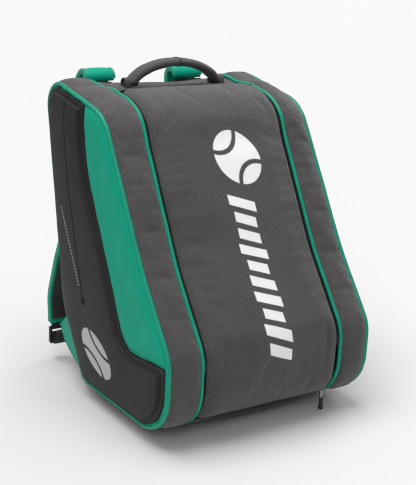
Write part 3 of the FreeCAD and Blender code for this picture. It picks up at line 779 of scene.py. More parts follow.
def zipHalf(body, low, high, toothX, end, crossStart, crossEnd, crossTooth):
    # a tape band and a row of teeth up each side of the flap, and across the top
    name, start = body + "Zip", foldAt + 0.0012
    tapes, spots = [], []
    for sign in (-1, 1):
        edges = sorted((sign * low, sign * high))
        tapes.append(sheetOnOutline(name + "Tape", edges[0], edges[1], start, end, 0.004,
                                    lambda *_: zips["tapeLift"]))
        x = sign * toothX
        for k in range(int((end - start) / zips["pitch"])):
            s = start + (k + 0.5) * zips["pitch"]
            lift = zips["depth"] + swell(x, s)
            centre = outline.place(x, s, lift)
            ahead = outline.place(x, s + 0.001, lift)
            up = (outline.place(x, s, lift + 0.001) - centre).normalized()
            spots.append((centre, (ahead - centre).normalized(), Vector((1, 0, 0)), up))
    tapes.append(sheetOnOutline(name + "Cross", -high, high, crossStart, crossEnd, 0.0035,
                                lambda *_: zips["tapeLift"], crossShape))
    centre = outline.place(0, crossTooth, zips["depth"])
    along = (outline.place(0, crossTooth + 0.001, zips["depth"]) - centre).normalized()
    up = (outline.place(0, crossTooth, 0.001) - centre).normalized()
    count = int(2 * low / zips["pitch"])
    for k in range(count):
        x = -low + (k + 0.5) * 2 * low / count
        spots.append((centre + Vector((x, 0, 0)), Vector((1, 0, 0)), along, up))
    tape = joinPieces(name + "Tape", tapes)
    applyModifier(tape, "SOLIDIFY", thickness=zips["tapeThick"], offset=0)
    finishPiece(tape, paint["black"], "zip_coil", body, ("flap_zip_half",) if body == "flap" else ())
    return toothRow(name + "Teeth", spots, body)


zipHalf("flap", low=0.1185, high=0.1254, toothX=0.1250, end=topZipAt - 0.0006,
        crossStart=topZipAt - 0.0085, crossEnd=topZipAt - 0.0006, crossTooth=topZipAt - 0.0014)
bagTeeth = zipHalf("bag", low=0.1262, high=0.1330, toothX=0.1266, end=topZipAt + 0.0060,
                   crossStart=topZipAt + 0.0006, crossEnd=topZipAt + 0.0075, crossTooth=topZipAt + 0.0014)
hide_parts("bag_zip_half")

lowerTape = sheetOnOutline("lowerZipTape", -0.1245, 0.1245, lowerZipAt - 0.0075, lowerZipAt + 0.0075, 0.003,
                           lambda *_: -0.0020)
applyModifier(lowerTape, "SOLIDIFY", thickness=zips["tapeThick"], offset=0)
finishPiece(lowerTape, paint["black"], "zip_coil", "bag")
lowerSpots = []
for k in range(int(0.246 / zips["pitch"])):
    x = -0.123 + (k + 0.5) * zips["pitch"]
    for shift in (-0.0010, 0.0010):
        centre = outline.place(x + shift * 0.8, lowerZipAt + shift, -0.0006)
        up = (outline.place(x, lowerZipAt + shift, 0.0) -
              outline.place(x, lowerZipAt + shift, -0.001)).normalized()
        along = (outline.place(x, lowerZipAt + 0.001, 0) - outline.place(x, lowerZipAt, 0)).normalized()
        lowerSpots.append((centre, Vector((1, 0, 0)), along, up))
lowerTeeth = toothRow("lowerZipTeeth", lowerSpots, "bag")
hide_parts("lower_zip_chain")
print("zips")


# Front bands, top yoke, back and base.

yokeDip = 0.0095


def yokeShape(x, s):
    # behind the zip the middle of the top sags towards the back
    t = min(max((s - topZipAt - 0.030) / (topBackAt - topZipAt - 0.030), 0), 1)
    return swell(x, s) * cornerRise(x) - yokeDip * t * t * (3 - 2 * t) * middleShare(x)


def backShape(x, s):
    t = min(max(1 - (s - topBackAt) / 0.060, 0), 1)
    return -yokeDip * t * t * (3 - 2 * t) * middleShare(x)


baseFrontAt = outline.nearest(0.115, 0)
baseEnd = outline.length + lowerZipAt - 0.0030
baseSag = 0.0110


def baseShape(x, s):
    # the soft base sags between the inner seams, just behind the lower zip
    t = min(max((s - baseFrontAt) / (baseEnd - baseFrontAt), 0), 1)
    return swell(x, s) + baseSag * math.sin(math.pi * t ** 1.4) ** 0.8 * middleShare(x) ** 0.7


def bandPiece(name, node, xs, span, cell, crown, material, slot, wrinkle, shape=swell, puffing=None,
              ends=None):
    piece = sheetOnOutline(name, *xs, *span, cell, crownOf(*crown, ends=ends), shape)
    if puffing:
        puff(piece, *puffing, edgePins(piece, 1))
    ruffle(piece, *wrinkle)
    thicken(piece, 0.0035)
    finishPiece(piece, paint[material], slot, "bag", (node,))


bands = {"frontX": (0.1322, 0.1852), "yokeX": (-0.1290, 0.1290), "backX": (-0.1850, 0.1850)}
for side, sign in sides.items():
    bandPiece(side + "FrontBand", side + "_front_band", sorted(sign * x for x in bands["frontX"]),
              (lowerZipAt - 0.004, topBackAt), 0.0044, (0.0042, 0.018, 0.0022), "canvas", "woven_grey",
              (0.0010, 22, 5.0 + sign), puffing=(3.0, 0.012, 0.004))
bandPiece("topYoke", "top_yoke", bands["yokeX"], (topZipAt + 0.0028, topBackAt), 0.0050,
          (-0.0006, 0.018, 0.0040),
          "canvas", "woven_grey", (0.0010, 22, 9.0), yokeShape, (2.0, 0.003, 0.0008), ends=0.001)
bandPiece("backPanel", "back_panel", bands["backX"], (topBackAt, baseBackAt), 0.0075, (0.0022, 0.020, 0.0015),
          "black", "black_fabric", (0.0008, 22, 12.0), backShape)
bandPiece("basePanel", "base_panel", bands["backX"], (baseBackAt, baseEnd), 0.0075, (0.0010, 0.016, 0.0020),
          "black", "black_fabric", (0.0006, 22, 15.0), baseShape)
print("bands and panels")


# Piping.

piping = {"around": 12, "cell": 0.0035,
          "Outer": {"x": 0.1866, "inset": 0.0026, "radius": 0.0033, "span": (0, outline.length), "seed": 2.0},
          "Inner": {"x": 0.1310, "inset": 0.0010, "radius": 0.0031, "span": (footMark(32), topBackAt),
                    "seed": 8.0}}


def pipingPiece(side, kind):
    # fabric over a cord: a little uneven in thickness and in how straight it was sewn
    cfg, sign = piping[kind], sides[side]
    start, end = cfg["span"]
    length, seed = end - start, cfg["seed"] + sign

    def place(turn, v):
        s = start + v * length
        uneven = (0.07 * noise.noise(Vector((s * 55, seed, 0))) +
                  0.04 * noise.noise(Vector((s * 190, seed, 3))))
        radius = cfg["radius"] * (1 + uneven)
        x = sign * cfg["x"]
        out = radius * math.sin(turn) + 0.0007 * noise.noise(Vector((s * 18, seed, 7)))
        depth = swell(x, s % outline.length) + out - cfg["inset"]
        return outline.place(x + radius * math.cos(turn), s, depth)

    piece = tubePiece(side + kind + "Piping", piping["around"], int(length / piping["cell"]),
                      math.tau * cfg["radius"], length, place, kind == "Outer")
    finishPiece(piece, paint["piping"], "green_piping", "bag",
                (side + "_" + kind.lower() + "_piping",), angle=60)


for side in sides:
    for kind in ("Outer", "Inner"):
        pipingPiece(side, kind)
print("piping")


# Side panels and moulded shells.

def flatDomain(loop, spacing, rings=(), keepOff=0.0012):
    # triangles over a closed loop of (y, z) points: its edge, rings inside it and a grid of points
    tree = kdtree.KDTree(len(loop))
    for i, point in enumerate(loop):
        tree.insert((point.x, point.y, 0), i)
    tree.balance()
    count = len(loop)
    points = list(loop)
    ringPoints = []
    for inset in rings:
        for i in range(count):
            way = (loop[(i + 1) % count] - loop[i - 1]).normalized()
            spot = loop[i] + Vector((way.y, -way.x)) * inset
            if tree.find((spot.x, spot.y, 0))[2] > inset - 0.0004:
                ringPoints.append(spot)
    points += ringPoints
    far = rings[-1] if rings else 0.0
    ys, zs = [p.x for p in loop], [p.y for p in loop]
    z = min(zs)
    while z < max(zs):
        y = min(ys)
        while y < max(ys):
            if tree.find((y, z, 0))[2] > far + keepOff:
                points.append(Vector((y, z)))
            y += spacing
        z += spacing
    edge = [(i, (i + 1) % count) for i in range(count)]
    found = geometry.delaunay_2d_cdt(points, edge, [], 1, 1e-7)
    return found[0], found[2], tree


def sideDomain(name, side, loop, spacing, baseX, heightOf, rings=()):
    # a side piece: triangles in the side plane, standing baseX + heightOf(point, distance to the edge) out
    points, faces, tree = flatDomain(loop, spacing, rings)
    sign = sides[side]
    corners = []
    for point in points:
        high = heightOf(point, tree.find((point.x, point.y, 0))[2])
        corners.append((sign * (baseX + high), frontY + point.x, baseZ + point.y))
    data = bpy.data.meshes.new(name)
    data.from_pydata(corners, [], [f if sign > 0 else f[::-1] for f in faces])
    data.uv_layers.new(name="UVMap")
    for loopCorner, place in zip(data.loops, data.uv_layers[0].data):
        point = points[loopCorner.vertex_index]
        place.uv = (point.x, point.y)
    return newPiece(name, data)


def evenLoop(points, step):
    # the same closed line with evenly laid points, running clockwise
    ring = [Vector((p[0], p[1])) for p in points]
    area = sum(a.x * b.y - b.x * a.y for a, b in zip(ring, ring[1:] + ring[:1]))
    if area > 0:
        ring.reverse()
    marks = [0.0]
    closed = ring + [ring[0]]
    for a, b in zip(closed, closed[1:]):
        marks.append(marks[-1] + (b - a).length)
    count = int(marks[-1] / step)
    result, j = [], 0
    for k in range(count):
        target = marks[-1] * k / count
        while marks[j + 1] < target:
            j += 1
        t = (target - marks[j]) / max(marks[j + 1] - marks[j], 1e-9)
        result.append(closed[j].lerp(closed[j + 1], t))
    return result


def shellLoop():
    # the edge of the right shell's flat inner face, read from its own mesh
    node = bpy.data.objects["right_side_shell"]
    mesh = bmesh.new()
    mesh.from_mesh(node.data)
    mesh.transform(node.matrix_world)
    bmesh.ops.remove_doubles(mesh, verts=mesh.verts, dist=1e-5)
    flatX = min(v.co.x for v in mesh.verts)
    inner = {f for f in mesh.faces if all(abs(v.co.x - flatX) < 1e-5 for v in f.verts)}
    border = [e for e in mesh.edges if len([f for f in e.link_faces if f in inner]) == 1]
    neighbours = {}
    for edge in border:
        a, b = edge.verts
        neighbours.setdefault(a, []).append(b)
        neighbours.setdefault(b, []).append(a)
    first = border[0].verts[0]
    order, previous, here = [first], None, first
    while True:
        onward = [v for v in neighbours[here] if v is not previous]
        previous, here = here, onward[0]
        if here is first:
            break
        order.append(here)
    loop = [(v.co.y - frontY, v.co.z - baseZ) for v in order]
    mesh.free()
    return evenLoop(loop, 0.003)


shell = {"line": [((0.325, 0.462), 0), ((0.324, 0.415), 0.08), ((0.308, 0.330), 0.08), ((0.273, 0.222), 0.08),
                  ((0.248, 0.147), 0)],
         "dimple": (0.248, 0.147), "grooveHalf": 0.0028, "grooveDeep": 0.0034, "rim": 0.0085,
         "edgeHigh": 0.0042,
         "fieldHigh": 0.0088, "crown": 0.0035, "inner": 0.1872}
grooveLine = roundedLine(shell["line"], False)
shellEdge = shellLoop()


def toLine(point, line):
    # distance from a point to a run of points
    best = 9.0
    for a, b in zip(line, line[1:]):
        way = b - a
        t = min(max((point - a).dot(way) / way.length_squared, 0), 1)
        best = min(best, (a + way * t - point).length)
    return best


def nearGroove(point):
    return 0.225 < point.x < 0.345 and 0.13 < point.y < 0.48


def shellHeight(point, inside):
    high = shell["edgeHigh"] * smoothRound(inside, 0.0022)
    high += (shell["fieldHigh"] - shell["edgeHigh"]) * smoothRound(inside - shell["rim"], 0.0030)
    high += shell["crown"] * smoothRound(inside - shell["rim"], 0.055)
    if nearGroove(point):
        off = toLine(point, grooveLine)
        if off < shell["grooveHalf"]:
            high -= shell["grooveDeep"] * (1 - smoothRound(off, shell["grooveHalf"]))
        hole = (point - Vector(shell["dimple"])).length
        if hole < 0.0075:
            high -= 0.0042 * math.sqrt(1 - (hole / 0.0075) ** 2)
    return high + 0.0004 * noise.noise(Vector((point.x * 25, point.y * 25, 4)))


def groovePoints():
    # extra points along the groove and round its dimple, so that both are drawn crisply
    extra = []
    for offset in (-0.0030, -0.0020, -0.0010, 0, 0.0010, 0.0020, 0.0030):
        for a, b in zip(grooveLine, grooveLine[1:]):
            way = (b - a).normalized()
            extra.append(a + Vector((-way.y, way.x)) * offset)
    for radius in (0.0, 0.0025, 0.0045, 0.0060, 0.0072, 0.0080):
        for k in range(24 if radius else 1):
            turn = math.tau * k / 24
            extra.append(Vector(shell["dimple"]) + Vector((math.cos(turn), math.sin(turn))) * radius)
    return extra


def shellPiece(side):
    rings = (0.0005, 0.0011, 0.0018, 0.0026, 0.0055, 0.0080, 0.0086, 0.0094, 0.0104, 0.0116, 0.0128, 0.0160)
    points, _, tree = flatDomain(shellEdge, 0.0055, rings)
    extra = groovePoints()
    clear = [p for p in points if not nearGroove(p) or min((p - q).length for q in extra) > 0.0014]
    count = len(shellEdge)
    edge = [(i, (i + 1) % count) for i in range(count)]
    spots, _, faces = geometry.delaunay_2d_cdt(clear + extra, edge, [], 1, 1e-7)[:3]
    sign = sides[side]
    corners = [(sign * (shell["inner"] + shellHeight(p, tree.find((p.x, p.y, 0))[2])),
                frontY + p.x, baseZ + p.y) for p in spots]
    data = bpy.data.meshes.new(side + "SideShell")
    data.from_pydata(corners, [], [f if sign > 0 else f[::-1] for f in faces])
    piece = newPiece(side + "SideShell", data)
    applyModifier(piece, "SOLIDIFY", thickness=0.0030, offset=-1)
    finishPiece(piece, paint["shell"], "shell_foam", "bag", (side + "_side_shell",), angle=50)
    return piece


def sidePanelHeight(point, inside):
    # the fabric swells between the piping and the shell, and lies flat under the shell
    toShell = shellTree.find((point.x, point.y, 0))[2]
    under = insideLoop(point, shellEdge)
    if under:
        return -0.0005
    near = min(inside, toShell * 1.25)
    uneven = 0.0008 * noise.noise(Vector((point.x * 30, point.y * 30, 2)))
    return -0.0010 + 0.0085 * smoothRound(near, 0.026) + uneven


def insideLoop(point, loop):
    hit = False
    for a, b in zip(loop, loop[1:] + loop[:1]):
        if (a.y > point.y) != (b.y > point.y):
            if point.x < a.x + (b.x - a.x) * (point.y - a.y) / (b.y - a.y):
                hit = not hit
    return hit


shellTree = kdtree.KDTree(len(shellEdge))
for i, point in enumerate(shellEdge):
    shellTree.insert((point.x, point.y, 0), i)
shellTree.balance()

panelLoop = evenLoop([outline.at(s)[0] - outline.at(s)[1] * 0.0025
                      for s in [outline.length * k / 600 for k in range(600)]], 0.004)
for side in sides:
    shellPiece(side)
    piece = sideDomain(side + "SidePanel", side, panelLoop, 0.0060, 0.1862, sidePanelHeight)
    applyModifier(piece, "SOLIDIFY", thickness=0.0025, offset=-1)
    finishPiece(piece, paint["green"], "green_fabric", "bag", (side + "_side_panel",), angle=60)
print("side panels and shells")


# Back pads: spacer mesh over foam, quilted into channels.

pads = {"high": 0.0105, "edge": 0.014, "cell": 0.0042, "thick": 0.0020, "seamIn": 0.0055,
        "sideX": (0.018, 0.118), "sideHigh": (0.128, 0.432), "lumbarX": (-0.095, 0.095),
        "lumbarHigh": (0.052, 0.114)}


def backPad(name, node, xs, heights, channels, acrossWays):
    lowX, highX = xs
    start, end = sorted((outline.nearest(0.40, heights[1]), outline.nearest(0.33, heights[0])))

    def lift(left, right, low, top):
        near = min(left, right, low, top)
        share = low / (low + top) if acrossWays else left / (left + right)
        dip = abs(math.sin(share * channels * math.pi))
        groove = 0.45 * (1 - smoothRound(dip, 0.5)) * min(1, max(0, near - 0.004) / 0.012)
        return 0.0002 + pads["high"] * smoothRound(near, pads["edge"]) * (1 - groove)

    piece = sheetOnOutline(name, lowX, highX, start, end, pads["cell"], lift, lambda *_: 0.0)
    puff(piece, 1.5, 0.006, 0.0015, edgePins(piece, 2))
    ruffle(piece, 0.0006, 30, 21.0)
    thicken(piece, pads["thick"])
    finishPiece(piece, paint["mesh"], "mesh_foam", "bag", (node,))

    # one line of stitches all round, thirty marks to a side
    inset = pads["seamIn"]
    corners = [(lowX + inset, start + inset), (highX - inset, start + inset),
               (highX - inset, end - inset), (lowX + inset, end - inset)]
    seam = []
    for (x0, s0), (x1, s1) in zip(corners, corners[1:] + corners[:1]):
        seam += [outline.place(x0 + (x1 - x0) * k / 30, s0 + (s1 - s0) * k / 30,
                               pads["high"] * smoothRound(inset, pads["edge"]) + 0.0006) for k in range(30)]
    stitchRow(name + "Stitches", seam + seam[:1], Vector((0, 0.98, -0.2)), (0.0042, 0.0028, 0.00040),
              "thread", "mesh_foam", "bag")


for side, sign in sides.items():
    backPad(side + "BackPad", side + "_back_pad", sorted(sign * x for x in pads["sideX"]),
            pads["sideHigh"], 5, True)
backPad("lumbarPad", "lumbar_pad", pads["lumbarX"], pads["lumbarHigh"], 4, False)
print("back pads")


# Base cushion: stuffed, flat where it stands.

cushion = {"corner": 0.022, "roll": 0.006, "bulge": 0.0018, "tuck": 0.0042, "high": 0.0185}


def cushionPiece():
    low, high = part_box("base_cushion")
    middle, half = (low + high) / 2, (high - low) / 2
    corner = cushion["corner"]
    deselectAll()
    bpy.ops.mesh.primitive_cube_add(size=2)
    piece = bpy.context.object
    piece.name = "baseCushion"
    bpy.ops.object.mode_set(mode="EDIT")
    bpy.ops.mesh.select_all(action="SELECT")
    bpy.ops.mesh.subdivide(number_cuts=29)
    bpy.ops.object.mode_set(mode="OBJECT")
    for vertex in piece.data.vertices:
        x, y, z = vertex.co
        px, py = x * half.x, y * half.y
        onWall = max(abs(x), abs(y)) >= 1
        dx, dy = max(0, abs(px) - (half.x - corner)), max(0, abs(py) - (half.y - corner))
        off = math.hypot(dx, dy)
        if off > corner:
            px = math.copysign(half.x - corner + dx * corner / off, px)
            py = math.copysign(half.y - corner + dy * corner / off, py)
        height = 0.5 + z / 2
        pz = low.z + cushion["high"] * height
        if onWall:
            out = Vector((px / half.x, py / half.y)).normalized()
            bulge = cushion["bulge"] * math.sin(height * math.pi)
            bulge -= cushion["tuck"] * (1 - smoothRound(height * 0.020, cushion["roll"]))
            px, py = px + out.x * bulge, py + out.y * bulge
        elif height == 0:
            edge = min(half.x - abs(px), half.y - abs(py))
            pz += 0.0018 * (1 - smoothRound(max(0, edge - 0.002), 0.010))
        vertex.co = (middle.x + px, middle.y + py, pz)
    ruffle(piece, 0.0006, 40, 31.0, keepEdges=False)
    for vertex in piece.data.vertices:
        vertex.co.z = max(vertex.co.z, low.z)
    applyModifier(piece, "SUBSURF", levels=1, render_levels=1)
    finishPiece(piece, paint["black"], "black_fabric", "bag", ("base_cushion",))


cushionPiece()
print("base cushion")


# Handle.

def superTube(name, count, around, frameAt, power):
    # a closed loft: frameAt(t) gives centre, side axis, up axis and the two half sizes
    def place(turn, v):
        centre, sideWay, upWay, halfWide, halfDeep = frameAt(v)
        c, s = math.cos(turn), math.sin(turn)
        px = math.copysign(abs(c) ** (2 / power), c) * halfWide
        py = math.copysign(abs(s) ** (2 / power), s) * halfDeep
        return centre + sideWay * px + upWay * py

    return tubePiece(name, around, count, 0.08, 0.25, place)


def rollPiece(name, startX, length, y, z, close, rows):
    # rolled webbing: a rod along x that draws in over the length close at both ends
    def place(turn, v):
        radius = 0.0049 * (0.75 + 0.25 * smoothRound(min(v, 1 - v) * abs(length), close))
        return Vector((startX + v * length, y + radius * math.cos(turn), z + radius * math.sin(turn)))

    return tubePiece(name, 20, rows, 0.03, abs(length), place)


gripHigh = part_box("handle_grip")[1]
barrelLow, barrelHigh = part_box("handle_webbing")
handle = {"y": (barrelLow.y + barrelHigh.y) / 2, "axisZ": (barrelLow.z + barrelHigh.z) / 2,
          "reach": gripHigh.x - 0.0005, "top": gripHigh.z + 0.002, "bend": 1.25,
          "deep": 0.00675, "endDeep": 0.0056, "wide": 0.0140, "endWide": 0.0122, "power": 2.5,
          "seamAt": 0.515, "seamLong": 0.020, "seamHigh": 0.0009, "rollIn": 0.026,
          "stitch": (0.0040, 0.0028, 0.00055)}


def handleArc(t):
    # t from -1 to 1, the middle line of the grip
    base, bend = handle["axisZ"] + 0.0005, handle["bend"]
    rise = handle["top"] - handle["deep"] - base
    x = handle["reach"] * 0.985 * math.sin(t * bend) / math.sin(bend)
    lift = (math.cos(t * bend) - math.cos(bend)) / (1 - math.cos(bend))
    return Vector((x, handle["y"], base + rise * lift))


def gripFrame(v):
    t = v * 2 - 1
    ahead = (handleArc(min(t + 0.01, 1)) - handleArc(max(t - 0.01, -1))).normalized()
    up = Vector((0, 1, 0)).cross(ahead).normalized()
    if up.z < 0:
        up.negate()
    near = 1 - abs(t)
    wide = handle["endWide"] + (handle["wide"] - handle["endWide"]) * smoothRound(near, 0.35)
    deep = handle["endDeep"] + (handle["deep"] - handle["endDeep"]) * smoothRound(near, 0.45)
    uneven = 1 + 0.015 * math.sin(t * 19)
    return handleArc(t), Vector((0, 1, 0)), up, wide * uneven, deep * uneven


def seamBand(v):
    centre, wideWay, up, wide, deep = gripFrame(handle["seamAt"] + handle["seamLong"] * v)
    high = handle["seamHigh"] * math.sin(v * math.pi)
    return centre, wideWay, up, wide + high, deep + high


grip = superTube("handleGrip", 90, 32, gripFrame, handle["power"])
finishPiece(grip, paint["grip"], "grip_fabric", "handle", ("handle_grip",), angle=60)
for name, way in (("front", -1), ("rear", 1)):
    run = []
    for k in range(161):
        centre, wideWay, up, wide, deep = gripFrame(0.06 + 0.88 * k / 160)
        run.append(centre + wideWay * (way * wide * 0.70) - up * (deep * 0.80))
    stitchRow(name + "GripStitches", run, Vector((0, 0.2, -1)), handle["stitch"], "thread",
              "grip_fabric", "handle")
band = superTube("gripSeam", 8, 32, seamBand, handle["power"])
finishPiece(band, paint["webbing"], "webbing", "handle", angle=60)

rolls = [rollPiece(side + "GripRoll", sign * (abs(barrelLow.x) - handle["rollIn"]), sign * 0.026,
                   handle["y"], handle["axisZ"], 0.0012, 16) for side, sign in sides.items()]
finishPiece(joinPieces("handleRolls", rolls), paint["webbing"], "webbing", "handle",
            ("handle_webbing",), angle=50)


saddle = {"slope": 0.18, "tunnelHalf": 0.0078, "flange": 0.009, "webThick": 0.0016, "patchHalf": 0.0160,
          "patchHigh": 0.0028, "patchThick": 0.0012, "seamY": 0.0128, "stitch": (0.0036, 0.0024, 0.0004)}


def saddlePiece(side):
    # a tunnel of canvas stitched down on both sides of the roll, over a padded patch
    sign = sides[side]
    low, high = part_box(side + "_handle_saddle")
    patchLow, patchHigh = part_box(side + "_handle_patch")
    x0, x1 = sorted((abs(low.x), abs(high.x)))
    far = max(abs(patchLow.x), abs(patchHigh.x))
    tunnel = saddle["tunnelHalf"]

    def floorAt(y):
        return patchLow.z + (y - patchLow.y) * saddle["slope"]

    def place(u, v):
        # a sixth of the length is flange on each side, the rest goes round the roll
        x = sign * (x0 - 0.0005 + u * (x1 - x0 + 0.0012))
        if v < 1 / 6 or v > 5 / 6:
            out = (1 / 6 - v) * 6 if v < 1 / 6 else (v - 5 / 6) * 6
            y = handle["y"] - (tunnel + saddle["flange"] * out) * (1 if v < 0.5 else -1)
            return Vector((x, y, floorAt(y) + 0.0022 + 0.0004 * (1 - out)))
        around = (v - 1 / 6) * 1.5 * math.pi
        y = handle["y"] - tunnel * math.cos(around)
        base = floorAt(y) + 0.0022
        return Vector((x, y, base + (high.z - 0.0010 - base) * math.sin(around) ** 0.55))

    piece = gridPiece(side + "HandleTunnel", 10, 48, x1 - x0, 0.05, place)
    applyModifier(piece, "SOLIDIFY", thickness=saddle["webThick"], offset=0)
    finishPiece(piece, paint["grip"], "webbing", "bag", (side + "_handle_saddle",), angle=50)

    def patchPlace(u, v):
        x = x0 - 0.004 + u * (far - x0 + 0.004)
        taper = saddle["patchHalf"] * (0.80 + 0.20 * smoothRound(u, 0.6))
        y = handle["y"] + (v * 2 - 1) * taper
        near = min(min(u, 1 - u) * (far - x0), min(v, 1 - v) * 2 * taper)
        pad = saddle["patchHigh"] * smoothRound(near, 0.008)
        return Vector((sign * x, y,
                       floorAt(y) + 0.0002 + pad * (0.35 + 0.65 * smoothRound(max(0, x - x1), 0.01))))

    patch = gridPiece(side + "HandlePatch", 22, 18, far - x0, 0.032, patchPlace)
    ruffle(patch, 0.0005, 60, 41.0)
    thicken(patch, saddle["patchThick"])
    finishPiece(patch, paint["grip"], "black_fabric", "bag", (side + "_handle_patch",), angle=60)
    for name, way in (("Front", -1), ("Rear", 1)):
        y = handle["y"] + way * saddle["seamY"]
        run = [Vector((sign * (x1 + 0.002 + k * (far - x1 - 0.006) / 24), y, floorAt(y) + 0.0032))
               for k in range(25)]
        stitchRow(side + name + "PatchStitches", run, Vector((0, 0, 1)), saddle["stitch"], "thread",
                  "black_fabric", "bag")


for side in sides:
    saddlePiece(side)
print("handle")


# Shoulder straps.

strap = {"line": [((0.416, 0.470), 0), ((0.416, 0.4895), 0.0115), ((0.443, 0.480), 0.016),
                  ((0.438, 0.420), 0.090),
                  ((0.387, 0.240), 0.120), ((0.424, 0.098), 0.060), ((0.414, 0.049), 0)],
         "inner": [(0.530, 0.060), (0.440, 0.061), (0.360, 0.077), (0.270, 0.099), (0.170, 0.121),
                   (0.040, 0.145)],
         "outer": [(0.530, 0.110), (0.480, 0.114), (0.440, 0.121), (0.360, 0.142), (0.270, 0.159),
                   (0.170, 0.170),
                   (0.040, 0.176)],
         "pad": 0.0108, "meshTop": 0.450, "meshEnd": 0.006, "meshThick": 0.0012, "meshHigh": 0.0022,
         "tackDeep": 0.0010, "tacks": 9, "bindWide": 0.0030, "bindHigh": 0.0052,
         "stitch": (0.0042, 0.0028, 0.00055)}
strapLine = Route(strap["line"])


def readEdge(marks, z):
    if z >= marks[0][0]:
        return marks[0][1]
    for (z0, x0), (z1, x1) in zip(marks, marks[1:]):
        if z >= z1:
            return x1 + (x0 - x1) * (z - z1) / (z0 - z1)
    return marks[-1][1]


def strapSection(side, s, across, depth):
    # across from 0 at the neck edge to 1, depth from 0 at the wearer's face to 1
    point, out = strapLine.at(s)
    inner, outer = readEdge(strap["inner"], point.y), readEdge(strap["outer"], point.y)
    place = point + out * (strap["pad"] / 2 * (2 * depth - 1))
    return Vector((sides[side] * (inner + (outer - inner) * across), frontY + place.x, baseZ + place.y))


def strapPiece(side):
    body, total = side + "_strap", strapLine.length

    def place(turn, v):
        c, s = math.cos(turn), math.sin(turn)
        across = 0.5 + 0.5 * math.copysign(abs(c) ** 0.75, c)
        ends = smoothRound(min(v, 1 - v) * total, 0.012)
        depth = 0.5 * math.copysign(abs(s) ** 0.62, s) * (0.45 + 0.55 * ends)
        uneven = 1 + 0.03 * math.sin(v * 60) * (1 - abs(c))
        return strapSection(side, v * total, across, 0.5 + depth * uneven)

    pad = tubePiece(side + "StrapPad", 40, 170, 0.12, total, place)
    finishPiece(pad, paint["green"], "strap_green", body, (side + "_strap_pad",), angle=60)

    # the mesh lining on the wearer's side, quilted, from under the top fold to the end
    start = 0.052
    while strapLine.at(start)[0].y >= strap["meshTop"]:
        start += 0.002

    def liningPlace(u, v):
        near = min(min(u, 1 - u) * 0.05, min(v, 1 - v) * 0.4)
        high = strap["meshHigh"] * smoothRound(near, 0.006)
        high -= strap["tackDeep"] * (1 - smoothRound(abs(math.sin(v * strap["tacks"] * math.pi)), 0.45))
        across = 0.07 + 0.86 * u
        face = 0.5 - 0.5 * abs(1 - (2 * across - 1) ** 2) ** 0.30
        s = start + v * (total - strap["meshEnd"] - start)
        return strapSection(side, s, across, face - (high + 0.0002) / strap["pad"])

    lining = gridPiece(side + "StrapMesh", 16, 150, 0.05, total - start, liningPlace)
    thicken(lining, strap["meshThick"], offset=sides[side])
    finishPiece(lining, paint["mesh"], "mesh_foam", body, (side + "_strap_mesh",), angle=60)

    # green binding tape along both edges, and its stitches on the outer face
    for name, edge in (("Inner", 0.0), ("Outer", 1.0)):
        def bindPlace(turn, v):
            s = 0.004 + v * (total - 0.008)
            out = strapLine.at(s)[1] * (math.sin(turn) * strap["bindHigh"])
            centre = strapSection(side, s, 0.006 + edge * 0.988, 0.5)
            return centre + Vector((math.cos(turn) * strap["bindWide"], out.x, out.y))

        binding = tubePiece(side + name + "Binding", 10, 150, 0.015, total, bindPlace)
        finishPiece(binding, paint["piping"], "strap_green", body, angle=60)
        run = [strapSection(side, 0.01 + k * (total - 0.02) / 200, 0.060 + edge * 0.88, 0.955)
               for k in range(201)]
        stitchRow(side + name + "StrapStitches", run, Vector((0, 1, 0.1)), strap["stitch"], "greenThread",
                  "strap_green", body)

    # the rolled seam at the top
    low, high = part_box(side + "_strap_seam")
    roll = rollPiece(side + "StrapRoll", low.x, high.x - low.x, (low.y + high.y) / 2, (low.z + high.z) / 2,
                     0.003, 24)
    finishPiece(roll, paint["webbing"], "webbing", body, (side + "_strap_seam",), angle=60)


for side in sides:
    strapPiece(side)
print("straps")


# Pieces that keep their moulded or cut form, taken from the CAD mesh with their edges rounded.

def castPiece(node, name, body, material, slot, bevel):
    source = bpy.data.objects[node]
    piece = source.copy()
    piece.data = source.data.copy()
    bpy.context.collection.objects.link(piece)
    piece.name = name
    piece.data.transform(piece.matrix_world)
    piece.parent = None
    piece.matrix_world = Matrix.Identity(4)
    for key in [k for k in piece.keys() if k.startswith("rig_")]:
        del piece[key]
    makeActive(piece)
    bpy.ops.object.mode_set(mode="EDIT")
    bpy.ops.mesh.select_all(action="SELECT")
    bpy.ops.mesh.remove_doubles(threshold=1e-5)
    bpy.ops.mesh.dissolve_limited(angle_limit=math.radians(3))
    bpy.ops.object.mode_set(mode="OBJECT")
    applyModifier(piece, "BEVEL", width=bevel, segments=2, limit_method="ANGLE", angle_limit=math.radians(40))
    finishPiece(piece, paint[material], slot, body, (node,), angle=40)


# Ladder locks, their loops, the lower webbing and the wings.

tape = {"x": 0.160, "half": 0.0122, "endHalf": 0.0120, "thick": 0.0016, "loopThick": 0.0014, "bevel": 0.0006,
        "tip": (0.392, 0.044), "bendBack": 0.018, "bendLow": 0.012}


def webbingRun(name, side, line, thick, half, replaced, body=None):
    # flat tape that follows a line in the side plane
    route = Route(line)

    def place(turn, v):
        c, s = math.cos(turn), math.sin(turn)
        point, out = route.at(v * route.length)
        spot = point + out * (math.copysign(abs(s) ** 0.5, s) * thick / 2)
        x = tape["x"] + math.copysign(abs(c) ** 0.25, c) * half
        return Vector((sides[side] * x, frontY + spot.x, baseZ + spot.y))

    piece = tubePiece(name, 28, max(6, int(route.length / 0.0025)), 4 * half, route.length, place)
    return finishPiece(piece, paint["webbing"], "webbing", body, replaced, angle=50)


